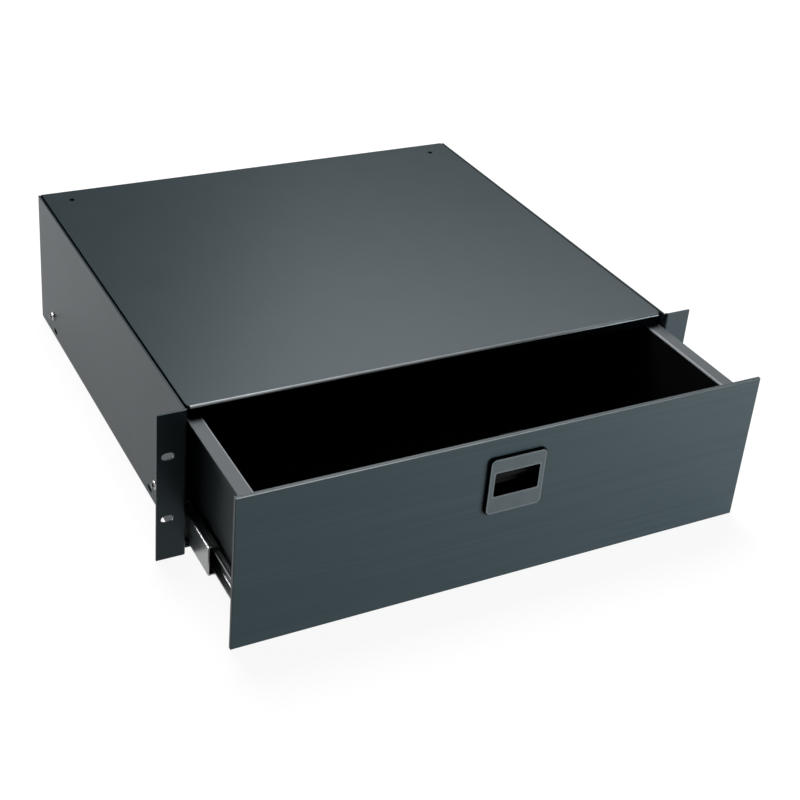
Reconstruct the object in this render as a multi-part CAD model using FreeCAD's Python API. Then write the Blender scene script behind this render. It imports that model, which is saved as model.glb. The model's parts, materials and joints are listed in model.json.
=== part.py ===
import FreeCAD, Part
import math
import os

# A sliding drawer for a 19-inch rack: a folded sheet-steel case whose ears screw to the rack's
# rails, two full-extension ball-bearing slides, a folded tray behind an aluminium face plate,
# and a sprung slam latch that hooks behind the lip of the case.
#
# Millimetres. +Z is up and the drawer opens towards -Y. The origin is the middle of the four
# rack-screw slots, on the rear faces of the ears, where they meet the rack. The drawer stands
# DRAWER_OPEN open.

Vec = FreeCAD.Vector

# --- rack standard ---
RACK_UNIT = 44.45
RACK_UNITS = 3
PANEL_GAP = 0.75              # how much lower a panel is than its rack units
EAR_SPAN = 482.6              # 19 inches over the ears
SLOT_PITCH_X = 465.1
SLOT_PITCH_Z = 57.15
SLOT_WIDTH = 6.5
SLOT_LENGTH = 10.0

# --- case ---
CASE_WIDTH = 437.4
CASE_DEPTH = 396.2            # from the rear faces of the ears to the back
CASE_SHEET = 1.5
CASE_TOP_DROP = 1.4           # how far the top lies below the top of the ears
BEND_INNER = 0.8              # inner radius of every press-brake bend
TOP_SETBACK = 3.8             # the top's front edge lies this far behind the ears
LIP_DROP = 10.0               # the top's folded front lip
LIP_END_GAP = 4.0             # from the end of the lip to the side wall
TOP_FLANGE_DROP = 8.5         # the top's side flanges, welded inside the walls
SEAM_STEP = 0.4               # the side walls' raw top edges lie below the top by this
FOOT_FLANGE = 14.0            # the side panels' bottom flanges
FOOT_RELIEF = 6.0             # gap between an ear's bend and its bottom flange
REAR_FLANGE = 12.0            # the rear panel's four flanges
REAR_RELIEF = 3.0             # notch beside a flange's end, at a corner
HEM_DEPTH = 10.0              # folded front hem of the bottom panel
SUPPORT_HOLE_RADIUS = 2.5     # two holes in the top for a rear support bracket
SUPPORT_HOLE_PITCH = 384.0
SUPPORT_HOLE_FROM_BACK = 19.4

# --- ball-bearing slides, one on each side wall ---
SLIDE_THICKNESS = 12.7        # the side space that a drawer slide takes
SLIDE_HEIGHT = 35.3
SLIDE_SHEET = 1.2
SLIDE_LIFT = 4.35             # from the bottom of the case up to the slide
SLIDE_FRONT = 12.8            # front end of the outer member, behind the ears
SLIDE_REAR_GAP = 33.4         # from the outer member's rear end to the back
SLIDE_SCREW_FRONT = 51.0      # from the front end of the outer member
SLIDE_SCREW_REAR = 7.0        # from its rear end
SLIDE_SLOT_FRONT = 66.0       # two slots for other slides, measured as the screws are
SLIDE_SLOT_REAR = 13.0
SLIDE_SLOT_LENGTH = 10.0
SLIDE_SLOT_WIDTH = 4.4
SLIDE_SLOT_DROP = 13.4        # from the slide's centre line down to the slots
SLIDE_WINDOW_MARGIN = 0.4     # the web's windows are this much smaller all round
BALL_RADIUS = 1.5
RACE_CLEARANCE = 0.1          # between a ball and its races
LIP_CLEARANCE = 0.6           # between one member's lip and the next member's flange
BALLS_PER_LINE = 4
CAGE_SHEET = 0.6
CAGE_CLEARANCE = 0.2          # between a cage's web and the webs beside it
CAGE_POCKET_CLEARANCE = 0.05
CAGE_END_MARGIN = 3.0         # what a cage keeps from the end of its race, at full travel
BUMPER_LENGTH = 6.0
BUMPER_CLEARANCE = 0.5
BUMPER_ROUND = 1.0

# --- drawer ---
DRAWER_OPEN = 110.0           # how far the drawer stands open
FACE_WIDTH = 450.85           # narrower than the ears, so that the rack screws stay in reach
FACE_THICKNESS = 3.2
FACE_SEAT_GAP = 0.5           # between the shut face plate and the ears
FACE_EDGE = 0.5               # broken front edges
TRAY_SHEET = 1.2
TRAY_FLOOR_HEIGHT = 5.0       # underside of the tray above the bottom of the case
TRAY_TOP_HEIGHT = 120.0       # top of the tray's folded flanges
TRAY_FLANGE = 11.0            # how far the flanges reach out over the slides
TRAY_REAR_GAP = 23.4          # from the shut tray to the back of the case
WALL_TOP_DROP = 2.0           # the front and back walls end below the flanges
WALL_FLANGE = 10.0            # their welded flanges

# --- slam latch, in the middle of the face plate ---
BEZEL_WIDTH = 50.0
BEZEL_HEIGHT = 51.0
BEZEL_PROUD = 3.0
BEZEL_CORNER = 5.0
BEZEL_EDGE = 1.0
LATCH_HEIGHT = 91.0           # centre of the bezel above the bottom of the face
LATCH_BODY_WIDTH = 46.0
LATCH_BODY_HEIGHT = 44.8
LATCH_BODY_CORNER = 2.0
LATCH_WALL = 2.8
CORE_WALL = 1.6               # between the finger window and the coring behind the bezel
CUTOUT_CLEARANCE = 0.3
WINDOW_WIDTH = 39.0
WINDOW_HEIGHT = 21.0
WINDOW_RISE = 1.7             # centre of the window above the bezel's centre
WINDOW_CORNER = 1.5
BOLT_LIP_GAP = 0.8            # from the back of the top's lip to the bolt, drawer shut
BOLT_THICKNESS = 6.0
BOLT_TRAVEL = 7.0
BOLT_CLEARANCE = 0.3
BOLT_ENGAGEMENT = 5.1         # how far the nose reaches up behind the lip
BOLT_NOSE_WIDTH = 20.0
BOLT_NOSE_TIP = 1.2           # flat at the top of the nose
LEDGE_WIDTH = 35.0
LEDGE_DEPTH = 5.5
LEDGE_THICKNESS = 3.0
LEDGE_RISE = 2.2              # centre of the finger ledge above the bezel's centre
LEDGE_RIDGE = 0.8             # a low ridge along the ledge's front, for grip
LEDGE_ROOT = 1.5              # how much thicker the ledge is at its root
COVER_THICKNESS = 1.8
BARB_DEPTH = 1.2
BARB_LENGTH = 4.0
BARB_WIDTH = 12.0
SPRING_RADIUS = 2.0           # outside
SPRING_WIRE = 0.6             # square wire
SPRING_COILS = 5
SPRING_LENGTH = 24.0
SPRING_POCKET_RADIUS = 2.6
SPRING_SEAT_RADIUS = 1.2
SPRING_SEAT_HEIGHT = 3.0
SPRING_END_CLEARANCE = 0.1

# --- release levers in the slides' inner members ---
LEVER_PIVOT = 130.0           # behind the front end of the inner member
LEVER_THICKNESS = 3.0
LEVER_ARM = 40.0              # behind the pivot
LEVER_PADDLE = 28.0           # ahead of the pivot
LEVER_WIDTH = 5.0
LEVER_HUB_RADIUS = 4.5
LEVER_PADDLE_WIDTH = 8.0
LEVER_PADDLE_LENGTH = 10.0     # its parallel stretch, before it narrows to the arm
LEVER_SIDE_CLEARANCE = 0.3
PIVOT_RADIUS = 1.5
PIVOT_HEAD_RADIUS = 2.8
PIVOT_HEAD_HEIGHT = 0.8

# --- screws: head radius, head height, shank radius ---
SLIDE_SCREW = (4.0, 2.4, 2.0)
TRAY_SCREW = (3.4, 1.8, 1.75)
FACE_SCREW = (3.6, 2.0, 2.0)
COVER_SCREW = (1.6, 1.0, 0.9)
SCREW_CLEARANCE = 0.05
SCREW_RECESS_WIDTH = 0.9
HIDDEN_SCREW_SIDES = 12       # the screws and rivets inside are drawn with flats
SCREW_RECESS_DEPTH = 1.3
FACE_SCREW_BITE = 2.4         # depth of the blind holes in the face plate
FACE_SCREW_COLUMNS = (-0.86, 0.86)  # shares of the front wall's half width
FACE_SCREW_ROWS = (0.2, 0.88)                  # shares of its height
TRAY_SCREW_PLACES = (40.0, 325.0)       # behind the front end of the inner member
COVER_SCREW_LENGTH = 5.0

# --- heights and places that follow ---
EAR_HEIGHT = RACK_UNITS * RACK_UNIT - PANEL_GAP
BASE = -EAR_HEIGHT / 2
CASE_TOP = BASE + EAR_HEIGHT - CASE_TOP_DROP
BEND_OUTER = BEND_INNER + CASE_SHEET
HALF_CASE = CASE_WIDTH / 2
HALF_INSIDE = HALF_CASE - CASE_SHEET
PANEL_TOP = BASE + 2 * CASE_SHEET
SLIDE_Z = BASE + SLIDE_LIFT + SLIDE_HEIGHT / 2
SLIDE_LENGTH = CASE_DEPTH - SLIDE_FRONT - SLIDE_REAR_GAP
MEMBER_LENGTH = SLIDE_LENGTH - BUMPER_LENGTH - BUMPER_CLEARANCE
MIDDLE_FRONT = SLIDE_FRONT - DRAWER_OPEN / 2
INNER_FRONT = SLIDE_FRONT - DRAWER_OPEN
CAGE_LENGTH = MEMBER_LENGTH / 2 - 2 * CAGE_END_MARGIN
HALF_TRAY = HALF_INSIDE - SLIDE_THICKNESS
HALF_TRAY_INSIDE = HALF_TRAY - TRAY_SHEET
SHUT_BACK = -CASE_SHEET - FACE_SEAT_GAP        # rear of the face plate, drawer shut
FACE_BACK = SHUT_BACK - DRAWER_OPEN
TRAY_BACK = CASE_DEPTH - TRAY_REAR_GAP - DRAWER_OPEN
TRAY_FLOOR = BASE + TRAY_FLOOR_HEIGHT
TRAY_TOP = BASE + TRAY_TOP_HEIGHT
LIP_BOTTOM = CASE_TOP - LIP_DROP
LATCH_Z = BASE + LATCH_HEIGHT
WINDOW_Z = LATCH_Z + WINDOW_RISE
BOLT_FRONT = TOP_SETBACK + CASE_SHEET + BOLT_LIP_GAP - DRAWER_OPEN
BOLT_BACK = BOLT_FRONT + BOLT_THICKNESS
BOLT_TOP = LATCH_Z + LATCH_BODY_HEIGHT / 2 - LATCH_WALL - BOLT_CLEARANCE
BOLT_FLOOR = LATCH_Z - LATCH_BODY_HEIGHT / 2 + LATCH_WALL
BOLT_BOTTOM = BOLT_FLOOR + BOLT_TRAVEL + 2 * BOLT_CLEARANCE
COVER_FRONT = BOLT_BACK + BOLT_CLEARANCE
LATCH_BACK = COVER_FRONT + COVER_THICKNESS
HALF_CHANNEL = LATCH_BODY_WIDTH / 2 - LATCH_WALL
SPRING_Y = BOLT_BACK - SPRING_POCKET_RADIUS

# each plane's two directions, and the direction that it is extruded in
PLANES = {
    "XY": (Vec(1, 0, 0), Vec(0, 1, 0), Vec(0, 0, 1)),
    "XZ": (Vec(1, 0, 0), Vec(0, 0, 1), Vec(0, 1, 0)),
    "YZ": (Vec(0, 1, 0), Vec(0, 0, 1), Vec(1, 0, 0)),
}
LEFT = Vec(-1, 0, 0)
BACKWARD = Vec(0, 1, 0)


# ---------------------------------------------------------------- shapes


def unit(vector):
    """The vector at length 1."""
    return vector / vector.Length


def on_plane(plane, u, v):
    """A point of a plane as a vector."""
    along, across, _ = PLANES[plane]
    return along * u + across * v


def extrude(plane, edges, start, end):
    """The solid that a closed outline sweeps from start to end along the plane's normal."""
    normal = PLANES[plane][2]
    face = Part.Face(Part.Wire(Part.__sortEdges__(edges)))
    face.translate(normal * start)
    return face.extrude(normal * (end - start))


def polygon(plane, points, start, end):
    """A prism on a polygon."""
    corners = [on_plane(plane, u, v) for u, v in points]
    edges = [Part.LineSegment(a, b).toShape() for a, b in zip(corners, corners[1:] + corners[:1])]
    return extrude(plane, edges, start, end)


def block(x, y, z):
    """A box from its (low, high) pairs along X, Y and Z."""
    size = [high - low for low, high in (x, y, z)]
    return Part.makeBox(*size, Vec(x[0], y[0], z[0]))


def rounded_block(x, y, z, radius):
    """A box with its four edges along Y rounded."""
    shape = block(x, y, z)
    edges = [e for e in shape.Edges if abs(e.tangentAt(e.FirstParameter).y) > 0.9]
    return shape.makeFillet(radius, edges)


def cylinder(radius, start, direction, length):
    """A cylinder from its start point."""
    return Part.makeCylinder(radius, length, start, direction)


def faceted(radius, start, direction, length):
    """A prism that stands for a small cylinder, its corners on the radius."""
    angles = [2 * math.pi * i / HIDDEN_SCREW_SIDES for i in range(HIDDEN_SCREW_SIDES)]
    corners = [Vec(radius * math.cos(a), radius * math.sin(a), 0) for a in angles]
    end = Part.Face(Part.makePolygon(corners + corners[:1]))
    end.Placement = FreeCAD.Placement(start, FreeCAD.Rotation(Vec(0, 0, 1), direction))
    return end.extrude(direction * length)


def long_hole(length, width, centre, direction, depth):
    """A cutter for a slot with round ends that runs along the side of the sheet that it crosses."""
    along = Vec(1, 0, 0) if abs(direction.y) > 0.5 else Vec(0, 1, 0)
    reach = along * ((length - width) / 2)
    across = unit(direction.cross(along)) * (width / 2)
    start = centre - direction * (depth / 2)
    corners = [start - reach - across, start + reach - across]
    corners += [start + reach + across, start - reach + across]
    edges = [Part.LineSegment(corners[0], corners[1]).toShape(),
             Part.Arc(corners[1], start + along * (length / 2), corners[2]).toShape(),
             Part.LineSegment(corners[2], corners[3]).toShape(),
             Part.Arc(corners[3], start - along * (length / 2), corners[0]).toShape()]
    return Part.Face(Part.Wire(edges)).extrude(direction * depth)


def bend_path(points, radii):
    """Edges along a line of points, with an arc of the given radius at each inner corner."""
    edges = []
    start = points[0]
    for before, corner, after, radius in zip(points, points[1:], points[2:], radii):
        arriving = unit(corner - before)
        leaving = unit(after - corner)
        half_turn = arriving.getAngle(leaving) / 2
        reach = radius * math.tan(half_turn)
        middle = corner + unit(leaving - arriving) * (radius / math.cos(half_turn) - radius)
        arc_start = corner - arriving * reach
        arc_end = corner + leaving * reach
        if (arc_start - start).Length > 1e-6:
            edges.append(Part.LineSegment(start, arc_start).toShape())
        edges.append(Part.Arc(arc_start, middle, arc_end).toShape())
        start = arc_end
    edges.append(Part.LineSegment(start, points[-1]).toShape())
    return edges


def folded_sheet(plane, points, side, start, end, thickness=CASE_SHEET, inner=BEND_INNER):
    """A folded sheet.

    The points run along one face of its section, the sheet lies on the left of them (side 1) or
    on the right (side -1), and each bend has its own inner radius, or the same one.
    """
    _, _, normal = PLANES[plane]
    along, across, _ = PLANES[plane]
    turn_axis = along.cross(across)
    face = [on_plane(plane, u, v) for u, v in points]
    directions = [unit(b - a) for a, b in zip(face, face[1:])]
    normals = [turn_axis.cross(d) * side for d in directions]
    far = [face[0] + normals[0] * thickness]
    for corner, n0, n1 in zip(face[1:], normals, normals[1:]):
        far.append(corner + (n0 + n1) * (thickness / (1 + n0.dot(n1))))
    far.append(face[-1] + normals[-1] * thickness)
    count = len(points) - 2
    inners = inner if isinstance(inner, (list, tuple)) else [inner] * count
    turns = [d0.cross(d1).dot(turn_axis) * side for d0, d1 in zip(directions, directions[1:])]
    near_radii = [r + thickness if turn > 0 else r for r, turn in zip(inners, turns)]
    far_radii = [r if turn > 0 else r + thickness for r, turn in zip(inners, turns)]
    edges = bend_path(face, near_radii) + bend_path(far, far_radii)
    edges.append(Part.LineSegment(face[0], far[0]).toShape())
    edges.append(Part.LineSegment(face[-1], far[-1]).toShape())
    return extrude(plane, edges, start, end)


def joined(shapes):
    """One solid from several that meet, with no seams left on flat faces."""
    whole = shapes[0].multiFuse(shapes[1:]).removeSplitter()
    return whole.Solids[0] if len(whole.Solids) == 1 else whole


def without(shape, cutters):
    """The shape less the cutters."""
    rest = shape.cut(Part.makeCompound(cutters)).removeSplitter()
    return rest.Solids[0] if len(rest.Solids) == 1 else rest


def mirrored(shape):
    """The shape on the other side of the drawer."""
    return shape.mirror(Vec(0, 0, 0), Vec(1, 0, 0))


def screw(sizes, seat, outward, length, recessed=False):
    """A screw, its head outward from the seat; a recessed one has a bevelled crown and a cross."""
    head_radius, head_height, shank_radius = sizes
    turned = cylinder if recessed else faceted
    head = turned(head_radius, Vec(0, 0, 0), Vec(0, 0, 1), head_height)
    body = joined([head, turned(shank_radius, Vec(0, 0, -length), Vec(0, 0, 1), length)])
    if recessed:
        rim = [e for e in body.Edges if abs(e.CenterOfMass.z - head_height) < 0.01]
        body = body.makeChamfer(head_height * 0.45, rim)
        half_width = SCREW_RECESS_WIDTH / 2
        half_length = head_radius * 0.45
        depth = (head_height - SCREW_RECESS_DEPTH, head_height + 1)
        body = without(body, [block((-half_length, half_length), (-half_width, half_width), depth),
                              block((-half_width, half_width), (-half_length, half_length), depth)])
    body.Placement = FreeCAD.Placement(seat, FreeCAD.Rotation(Vec(0, 0, 1), outward))
    return body


def save(name, *solids):
    """Write one piece, or a group of like pieces, as parts/name.step."""
    shape = solids[0] if len(solids) == 1 else Part.makeCompound(solids)
    if not shape.isValid():
        raise ValueError(name + " is not a valid solid")
    shape.exportStep("parts/" + name + ".step")


def save_pair(name, *left):
    """Write the left piece, or group of pieces, and its mirror image."""
    save("left_" + name, *left)
    save("right_" + name, *[mirrored(solid) for solid in left])


# ---------------------------------------------------------------- case


def rack_slots():
    """Cutters for the four slots that the rack screws go through."""
    half_x = SLOT_PITCH_X / 2
    half_z = SLOT_PITCH_Z / 2
    places = [Vec(x, -CASE_SHEET / 2, z) for x in (-half_x, half_x) for z in (-half_z, half_z)]
    return [long_hole(SLOT_LENGTH, SLOT_WIDTH, place, BACKWARD, 2 * CASE_SHEET) for place in places]


def slide_screw_places():
    """Y of the two screws that hold a slide's outer member to the case."""
    return (SLIDE_FRONT + SLIDE_SCREW_FRONT, SLIDE_FRONT + SLIDE_LENGTH - SLIDE_SCREW_REAR)


def slide_slot_places():
    """Y of the two slots below the slide screws."""
    return (SLIDE_FRONT + SLIDE_SLOT_FRONT, SLIDE_FRONT + SLIDE_LENGTH - SLIDE_SLOT_REAR)


def slide_screw_holes():
    """Cutters through the left wall and the slide's web behind it."""
    start = -HALF_CASE - 1
    depth = CASE_SHEET + SLIDE_SHEET + 1.5
    return [cylinder(SLIDE_SCREW[2] + SCREW_CLEARANCE, Vec(start, y, SLIDE_Z), -LEFT, depth)
            for y in slide_screw_places()]


def slide_slots():
    """Cutters for the slots with round ends in the left wall."""
    return [long_hole(SLIDE_SLOT_LENGTH, SLIDE_SLOT_WIDTH,
                      Vec(-HALF_CASE + CASE_SHEET / 2, y, SLIDE_Z - SLIDE_SLOT_DROP), -LEFT, 2 * CASE_SHEET)
            for y in slide_slot_places()]


def slide_windows():
    """Cutters for the square-cornered windows in the slide's web, behind those slots."""
    half = SLIDE_SLOT_WIDTH / 2 - SLIDE_WINDOW_MARGIN
    reach = SLIDE_SLOT_LENGTH / 2 - SLIDE_WINDOW_MARGIN
    z = SLIDE_Z - SLIDE_SLOT_DROP
    across = (-HALF_INSIDE - 1, -HALF_INSIDE + SLIDE_SHEET + 1)
    return [block(across, (y - reach, y + reach), (z - half, z + half)) for y in slide_slot_places()]


def side_panel():
    """The left wall, with the ear folded outward and the bottom flange folded inward."""
    leg = BEND_OUTER + 2
    wall_x = -HALF_CASE
    ear_section = [(-EAR_SPAN / 2, 0), (wall_x, 0), (wall_x, CASE_DEPTH)]
    wall = folded_sheet("XY", ear_section, -1, BASE, BASE + EAR_HEIGHT)
    across = (wall_x - 1, -HALF_INSIDE + 1)
    flange_room = block(across, (FOOT_RELIEF, CASE_DEPTH + 1), (BASE - 1, BASE + leg))
    above = block(across, (BEND_OUTER - CASE_SHEET, CASE_DEPTH + 1), (CASE_TOP - SEAM_STEP, EAR_HEIGHT))
    wall = without(wall, [flange_room, above] + rack_slots() + slide_screw_holes() + slide_slots())
    foot_section = [(wall_x, BASE + leg), (wall_x, BASE), (wall_x + FOOT_FLANGE, BASE)]
    foot = folded_sheet("XZ", foot_section, 1, FOOT_RELIEF, CASE_DEPTH)
    return joined([wall, foot])


def top_panel():
    """The top: a lip folded down at the front and flanges folded down inside the walls."""
    flat_start = TOP_SETBACK + BEND_OUTER
    flange_start = flat_start + REAR_RELIEF
    low = CASE_TOP - TOP_FLANGE_DROP
    channel = [(-HALF_INSIDE, low), (-HALF_INSIDE, CASE_TOP), (HALF_INSIDE, CASE_TOP),
               (HALF_INSIDE, low)]
    middle = folded_sheet("XZ", channel, -1, flange_start, CASE_DEPTH)
    half_flat = HALF_INSIDE - BEND_OUTER
    flat = block((-half_flat, half_flat), (flat_start, CASE_DEPTH), (CASE_TOP - CASE_SHEET, CASE_TOP))
    lip_section = [(TOP_SETBACK, LIP_BOTTOM), (TOP_SETBACK, CASE_TOP), (flange_start, CASE_TOP)]
    half_lip = HALF_INSIDE - LIP_END_GAP
    lip = folded_sheet("YZ", lip_section, -1, -half_lip, half_lip)
    support_y = CASE_DEPTH - SUPPORT_HOLE_FROM_BACK
    places = [Vec(side * SUPPORT_HOLE_PITCH / 2, support_y, low) for side in (-1, 1)]
    holes = [cylinder(SUPPORT_HOLE_RADIUS, place, Vec(0, 0, 1), TOP_FLANGE_DROP + 1) for place in places]
    return without(joined([middle, flat, lip]), holes)


def bottom_panel():
    """The bottom: a flat sheet on the side panels' flanges, hemmed at the front."""
    half_width = HALF_INSIDE - BEND_INNER
    half_hem = HALF_CASE - FOOT_FLANGE - 1
    front = FOOT_RELIEF + CASE_SHEET
    floor_z = BASE + CASE_SHEET
    sheet = block((-half_width, half_width), (front, CASE_DEPTH), (floor_z, PANEL_TOP))
    back = front + HEM_DEPTH
    corners = [Vec(0, front, PANEL_TOP), Vec(0, back, PANEL_TOP), Vec(0, back, BASE), Vec(0, front, BASE)]
    edge = [Part.LineSegment(a, b).toShape() for a, b in zip(corners, corners[1:])]
    edge.append(Part.Arc(corners[3], Vec(0, front - CASE_SHEET, floor_z), corners[0]).toShape())
    hem = extrude("YZ", edge, -half_hem, half_hem)
    return joined([sheet, hem])


def rear_panel():
    """The back, with a flange folded forward along each edge."""
    flange_front = CASE_DEPTH - REAR_FLANGE
    low = PANEL_TOP
    high = CASE_TOP - CASE_SHEET
    ends = (low + BEND_OUTER + REAR_RELIEF, CASE_TOP - TOP_FLANGE_DROP - SEAM_STEP)
    around = [(-HALF_INSIDE, flange_front), (-HALF_INSIDE, CASE_DEPTH), (HALF_INSIDE, CASE_DEPTH),
              (HALF_INSIDE, flange_front)]
    sides = folded_sheet("XY", around, -1, *ends)
    upright = [(flange_front, low), (CASE_DEPTH, low), (CASE_DEPTH, high), (flange_front, high)]
    half_width = HALF_INSIDE - BEND_OUTER - REAR_RELIEF
    return joined([sides, folded_sheet("YZ", upright, 1, -half_width, half_width)])


# ---------------------------------------------------------------- slides
# A slide's section is drawn in (u, v): u from the case wall inward, v up from its centre line.

OUTER_FLANGE = SLIDE_HEIGHT / 2 - SLIDE_SHEET           # inner face of the outer member's flange
MIDDLE_WEB = 2 * CAGE_CLEARANCE + CAGE_SHEET + SLIDE_SHEET
BALL_REACH = BALL_RADIUS + RACE_CLEARANCE
GROOVE_DEPTH = 0.45                                     # rolled race in a flange's outer face
OUTER_BALL_V = OUTER_FLANGE - BALL_REACH
MIDDLE_FLANGE = OUTER_BALL_V - BALL_REACH + GROOVE_DEPTH
INNER_BALL_V = MIDDLE_FLANGE - SLIDE_SHEET - BALL_REACH
INNER_FLANGE = INNER_BALL_V - BALL_REACH + GROOVE_DEPTH
INNER_WEB = SLIDE_THICKNESS - SLIDE_SHEET
WEB_GAP = 0.1                                           # middle lip ahead of the inner web
MIDDLE_LIP = INNER_WEB - WEB_GAP
INNER_BALL_U = MIDDLE_LIP - SLIDE_SHEET - BALL_REACH
OUTER_LIP = 8.8
OUTER_BALL_U = OUTER_LIP - SLIDE_SHEET - BALL_REACH
INNER_FLANGE_EDGE = INNER_BALL_U - BALL_REACH - 0.4
INNER_CAGE_WEB = MIDDLE_WEB + SLIDE_SHEET + CAGE_CLEARANCE + 0.1
CAGE_REACH = BALL_REACH - 0.3                           # from the balls' centre to a cage's edge


def in_slide(shape, front):
    """Move a left slide's piece, drawn from y = 0 at (u, v), to its place."""
    moved = shape.copy()
    moved.translate(Vec(-HALF_INSIDE, front, SLIDE_Z))
    return moved


def channel_member(web, flange, lip, lip_end, length):
    """A rolled channel: its web against the left, its lips curled round the balls."""
    half = [(lip, lip_end), (lip, flange), (web, flange)]
    section = half + [(u, -v) for u, v in reversed(half)]
    inner = [BALL_REACH, BEND_INNER, BEND_INNER, BALL_REACH]
    return folded_sheet("XZ", section, 1, 0, length, SLIDE_SHEET, inner)


def race_grooves(u, v, length):
    """Cutters for the races rolled into the outer faces of a member's flanges."""
    return [cylinder(BALL_REACH, Vec(u, -1, side * v), BACKWARD, length + 2) for side in (-1, 1)]


def slide_outer():
    """The member that is screwed to the case."""
    lip_end = MIDDLE_FLANGE + LIP_CLEARANCE
    member = channel_member(0, OUTER_FLANGE + SLIDE_SHEET, OUTER_LIP, lip_end, SLIDE_LENGTH)
    return without(in_slide(member, SLIDE_FRONT), slide_screw_holes() + slide_windows())


def slide_middle():
    """The member between, carried half as far as the drawer."""
    lip_end = INNER_FLANGE + LIP_CLEARANCE
    member = channel_member(MIDDLE_WEB, MIDDLE_FLANGE, MIDDLE_LIP, lip_end, MEMBER_LENGTH)
    member = without(member, race_grooves(OUTER_BALL_U, OUTER_BALL_V, MEMBER_LENGTH))
    return in_slide(member, MIDDLE_FRONT)


def slide_inner():
    """The member that is screwed to the tray."""
    section = [(INNER_FLANGE_EDGE, INNER_FLANGE), (SLIDE_THICKNESS, INNER_FLANGE),
               (SLIDE_THICKNESS, -INNER_FLANGE), (INNER_FLANGE_EDGE, -INNER_FLANGE)]
    member = folded_sheet("XZ", section, -1, 0, MEMBER_LENGTH, SLIDE_SHEET)
    hole = TRAY_SCREW[2] + SCREW_CLEARANCE
    cutters = race_grooves(INNER_BALL_U, INNER_BALL_V, MEMBER_LENGTH)
    through = SLIDE_SHEET + 2
    start = INNER_WEB - 1
    cutters += [cylinder(hole, Vec(start, y, 0), -LEFT, through) for y in tray_screw_offsets()]
    cutters.append(cylinder(PIVOT_RADIUS + SCREW_CLEARANCE, Vec(start, LEVER_PIVOT, 0), -LEFT, through))
    return in_slide(without(member, cutters), INNER_FRONT)


def tray_screw_offsets():
    """Y of the tray's slide screws, behind the front end of the inner member."""
    return [y for y in TRAY_SCREW_PLACES if y < MEMBER_LENGTH - TRAY_SCREW[0]]


def cage_front(share):
    """Front end of a cage that has gone this share of the drawer's way."""
    return SLIDE_FRONT + MEMBER_LENGTH / 2 - CAGE_LENGTH / 2 - share * DRAWER_OPEN


def ball_offsets():
    """Y of the balls along a cage."""
    pitch = CAGE_LENGTH / BALLS_PER_LINE
    return [pitch * (i + 0.5) for i in range(BALLS_PER_LINE)]


def ball_cage(web, edge, ball_u, ball_v, share):
    """A channel of thin sheet with a square pocket for each ball."""
    flange = ball_v + CAGE_SHEET / 2
    section = [(edge, flange), (web, flange), (web, -flange), (edge, -flange)]
    cage = folded_sheet("XZ", section, 1, 0, CAGE_LENGTH, CAGE_SHEET, CAGE_SHEET / 2)
    half = BALL_RADIUS + CAGE_POCKET_CLEARANCE
    pockets = [block((ball_u - half, ball_u + half), (y - half, y + half),
                     (side * ball_v - CAGE_SHEET, side * ball_v + CAGE_SHEET))
               for y in ball_offsets() for side in (-1, 1)]
    return in_slide(without(cage, pockets), cage_front(share))


def ball(centre):
    """A ball, drawn with 26 flats: what three octagonal prisms at right angles have in common."""
    flat = BALL_RADIUS * math.tan(math.pi / 8)
    half = [(BALL_RADIUS, -flat), (BALL_RADIUS, flat), (flat, BALL_RADIUS), (-flat, BALL_RADIUS)]
    octagon = half + [(-u, -v) for u, v in half]
    along_z, along_y, along_x = [polygon(plane, octagon, -BALL_RADIUS, BALL_RADIUS) for plane in PLANES]
    shape = along_z.common(along_y).common(along_x)
    shape.translate(centre)
    return shape.Solids[0]


def balls(ball_u, ball_v, share):
    """The balls of one cage."""
    return [in_slide(ball(Vec(ball_u, y, side * ball_v)), cage_front(share))
            for y in ball_offsets() for side in (-1, 1)]


def slide_bumper():
    """The rubber stop at the back of the outer member."""
    half_height = OUTER_BALL_V - BALL_REACH
    piece = block((SLIDE_SHEET, OUTER_BALL_U), (SLIDE_LENGTH - BUMPER_LENGTH, SLIDE_LENGTH),
                  (-half_height, half_height))
    free = [e for e in piece.Edges if e.CenterOfMass.x > OUTER_BALL_U - 0.1]
    edges = [e for e in free if e.CenterOfMass.y < SLIDE_LENGTH - 0.1]
    return in_slide(piece.makeFillet(BUMPER_ROUND, edges), SLIDE_FRONT)


def case_slide_screws():
    """Screws through the left wall into the slide's outer member."""
    return [screw(SLIDE_SCREW, Vec(-HALF_CASE, y, SLIDE_Z), LEFT, CASE_SHEET + SLIDE_SHEET, True)
            for y in slide_screw_places()]


def tray_slide_screws():
    """Screws through the tray's left wall into the slide's inner member."""
    places = [Vec(-HALF_TRAY_INSIDE, INNER_FRONT + y, SLIDE_Z) for y in tray_screw_offsets()]
    return [screw(TRAY_SCREW, place, -LEFT, TRAY_SHEET + SLIDE_SHEET) for place in places]


# ---------------------------------------------------------------- release levers


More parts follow.
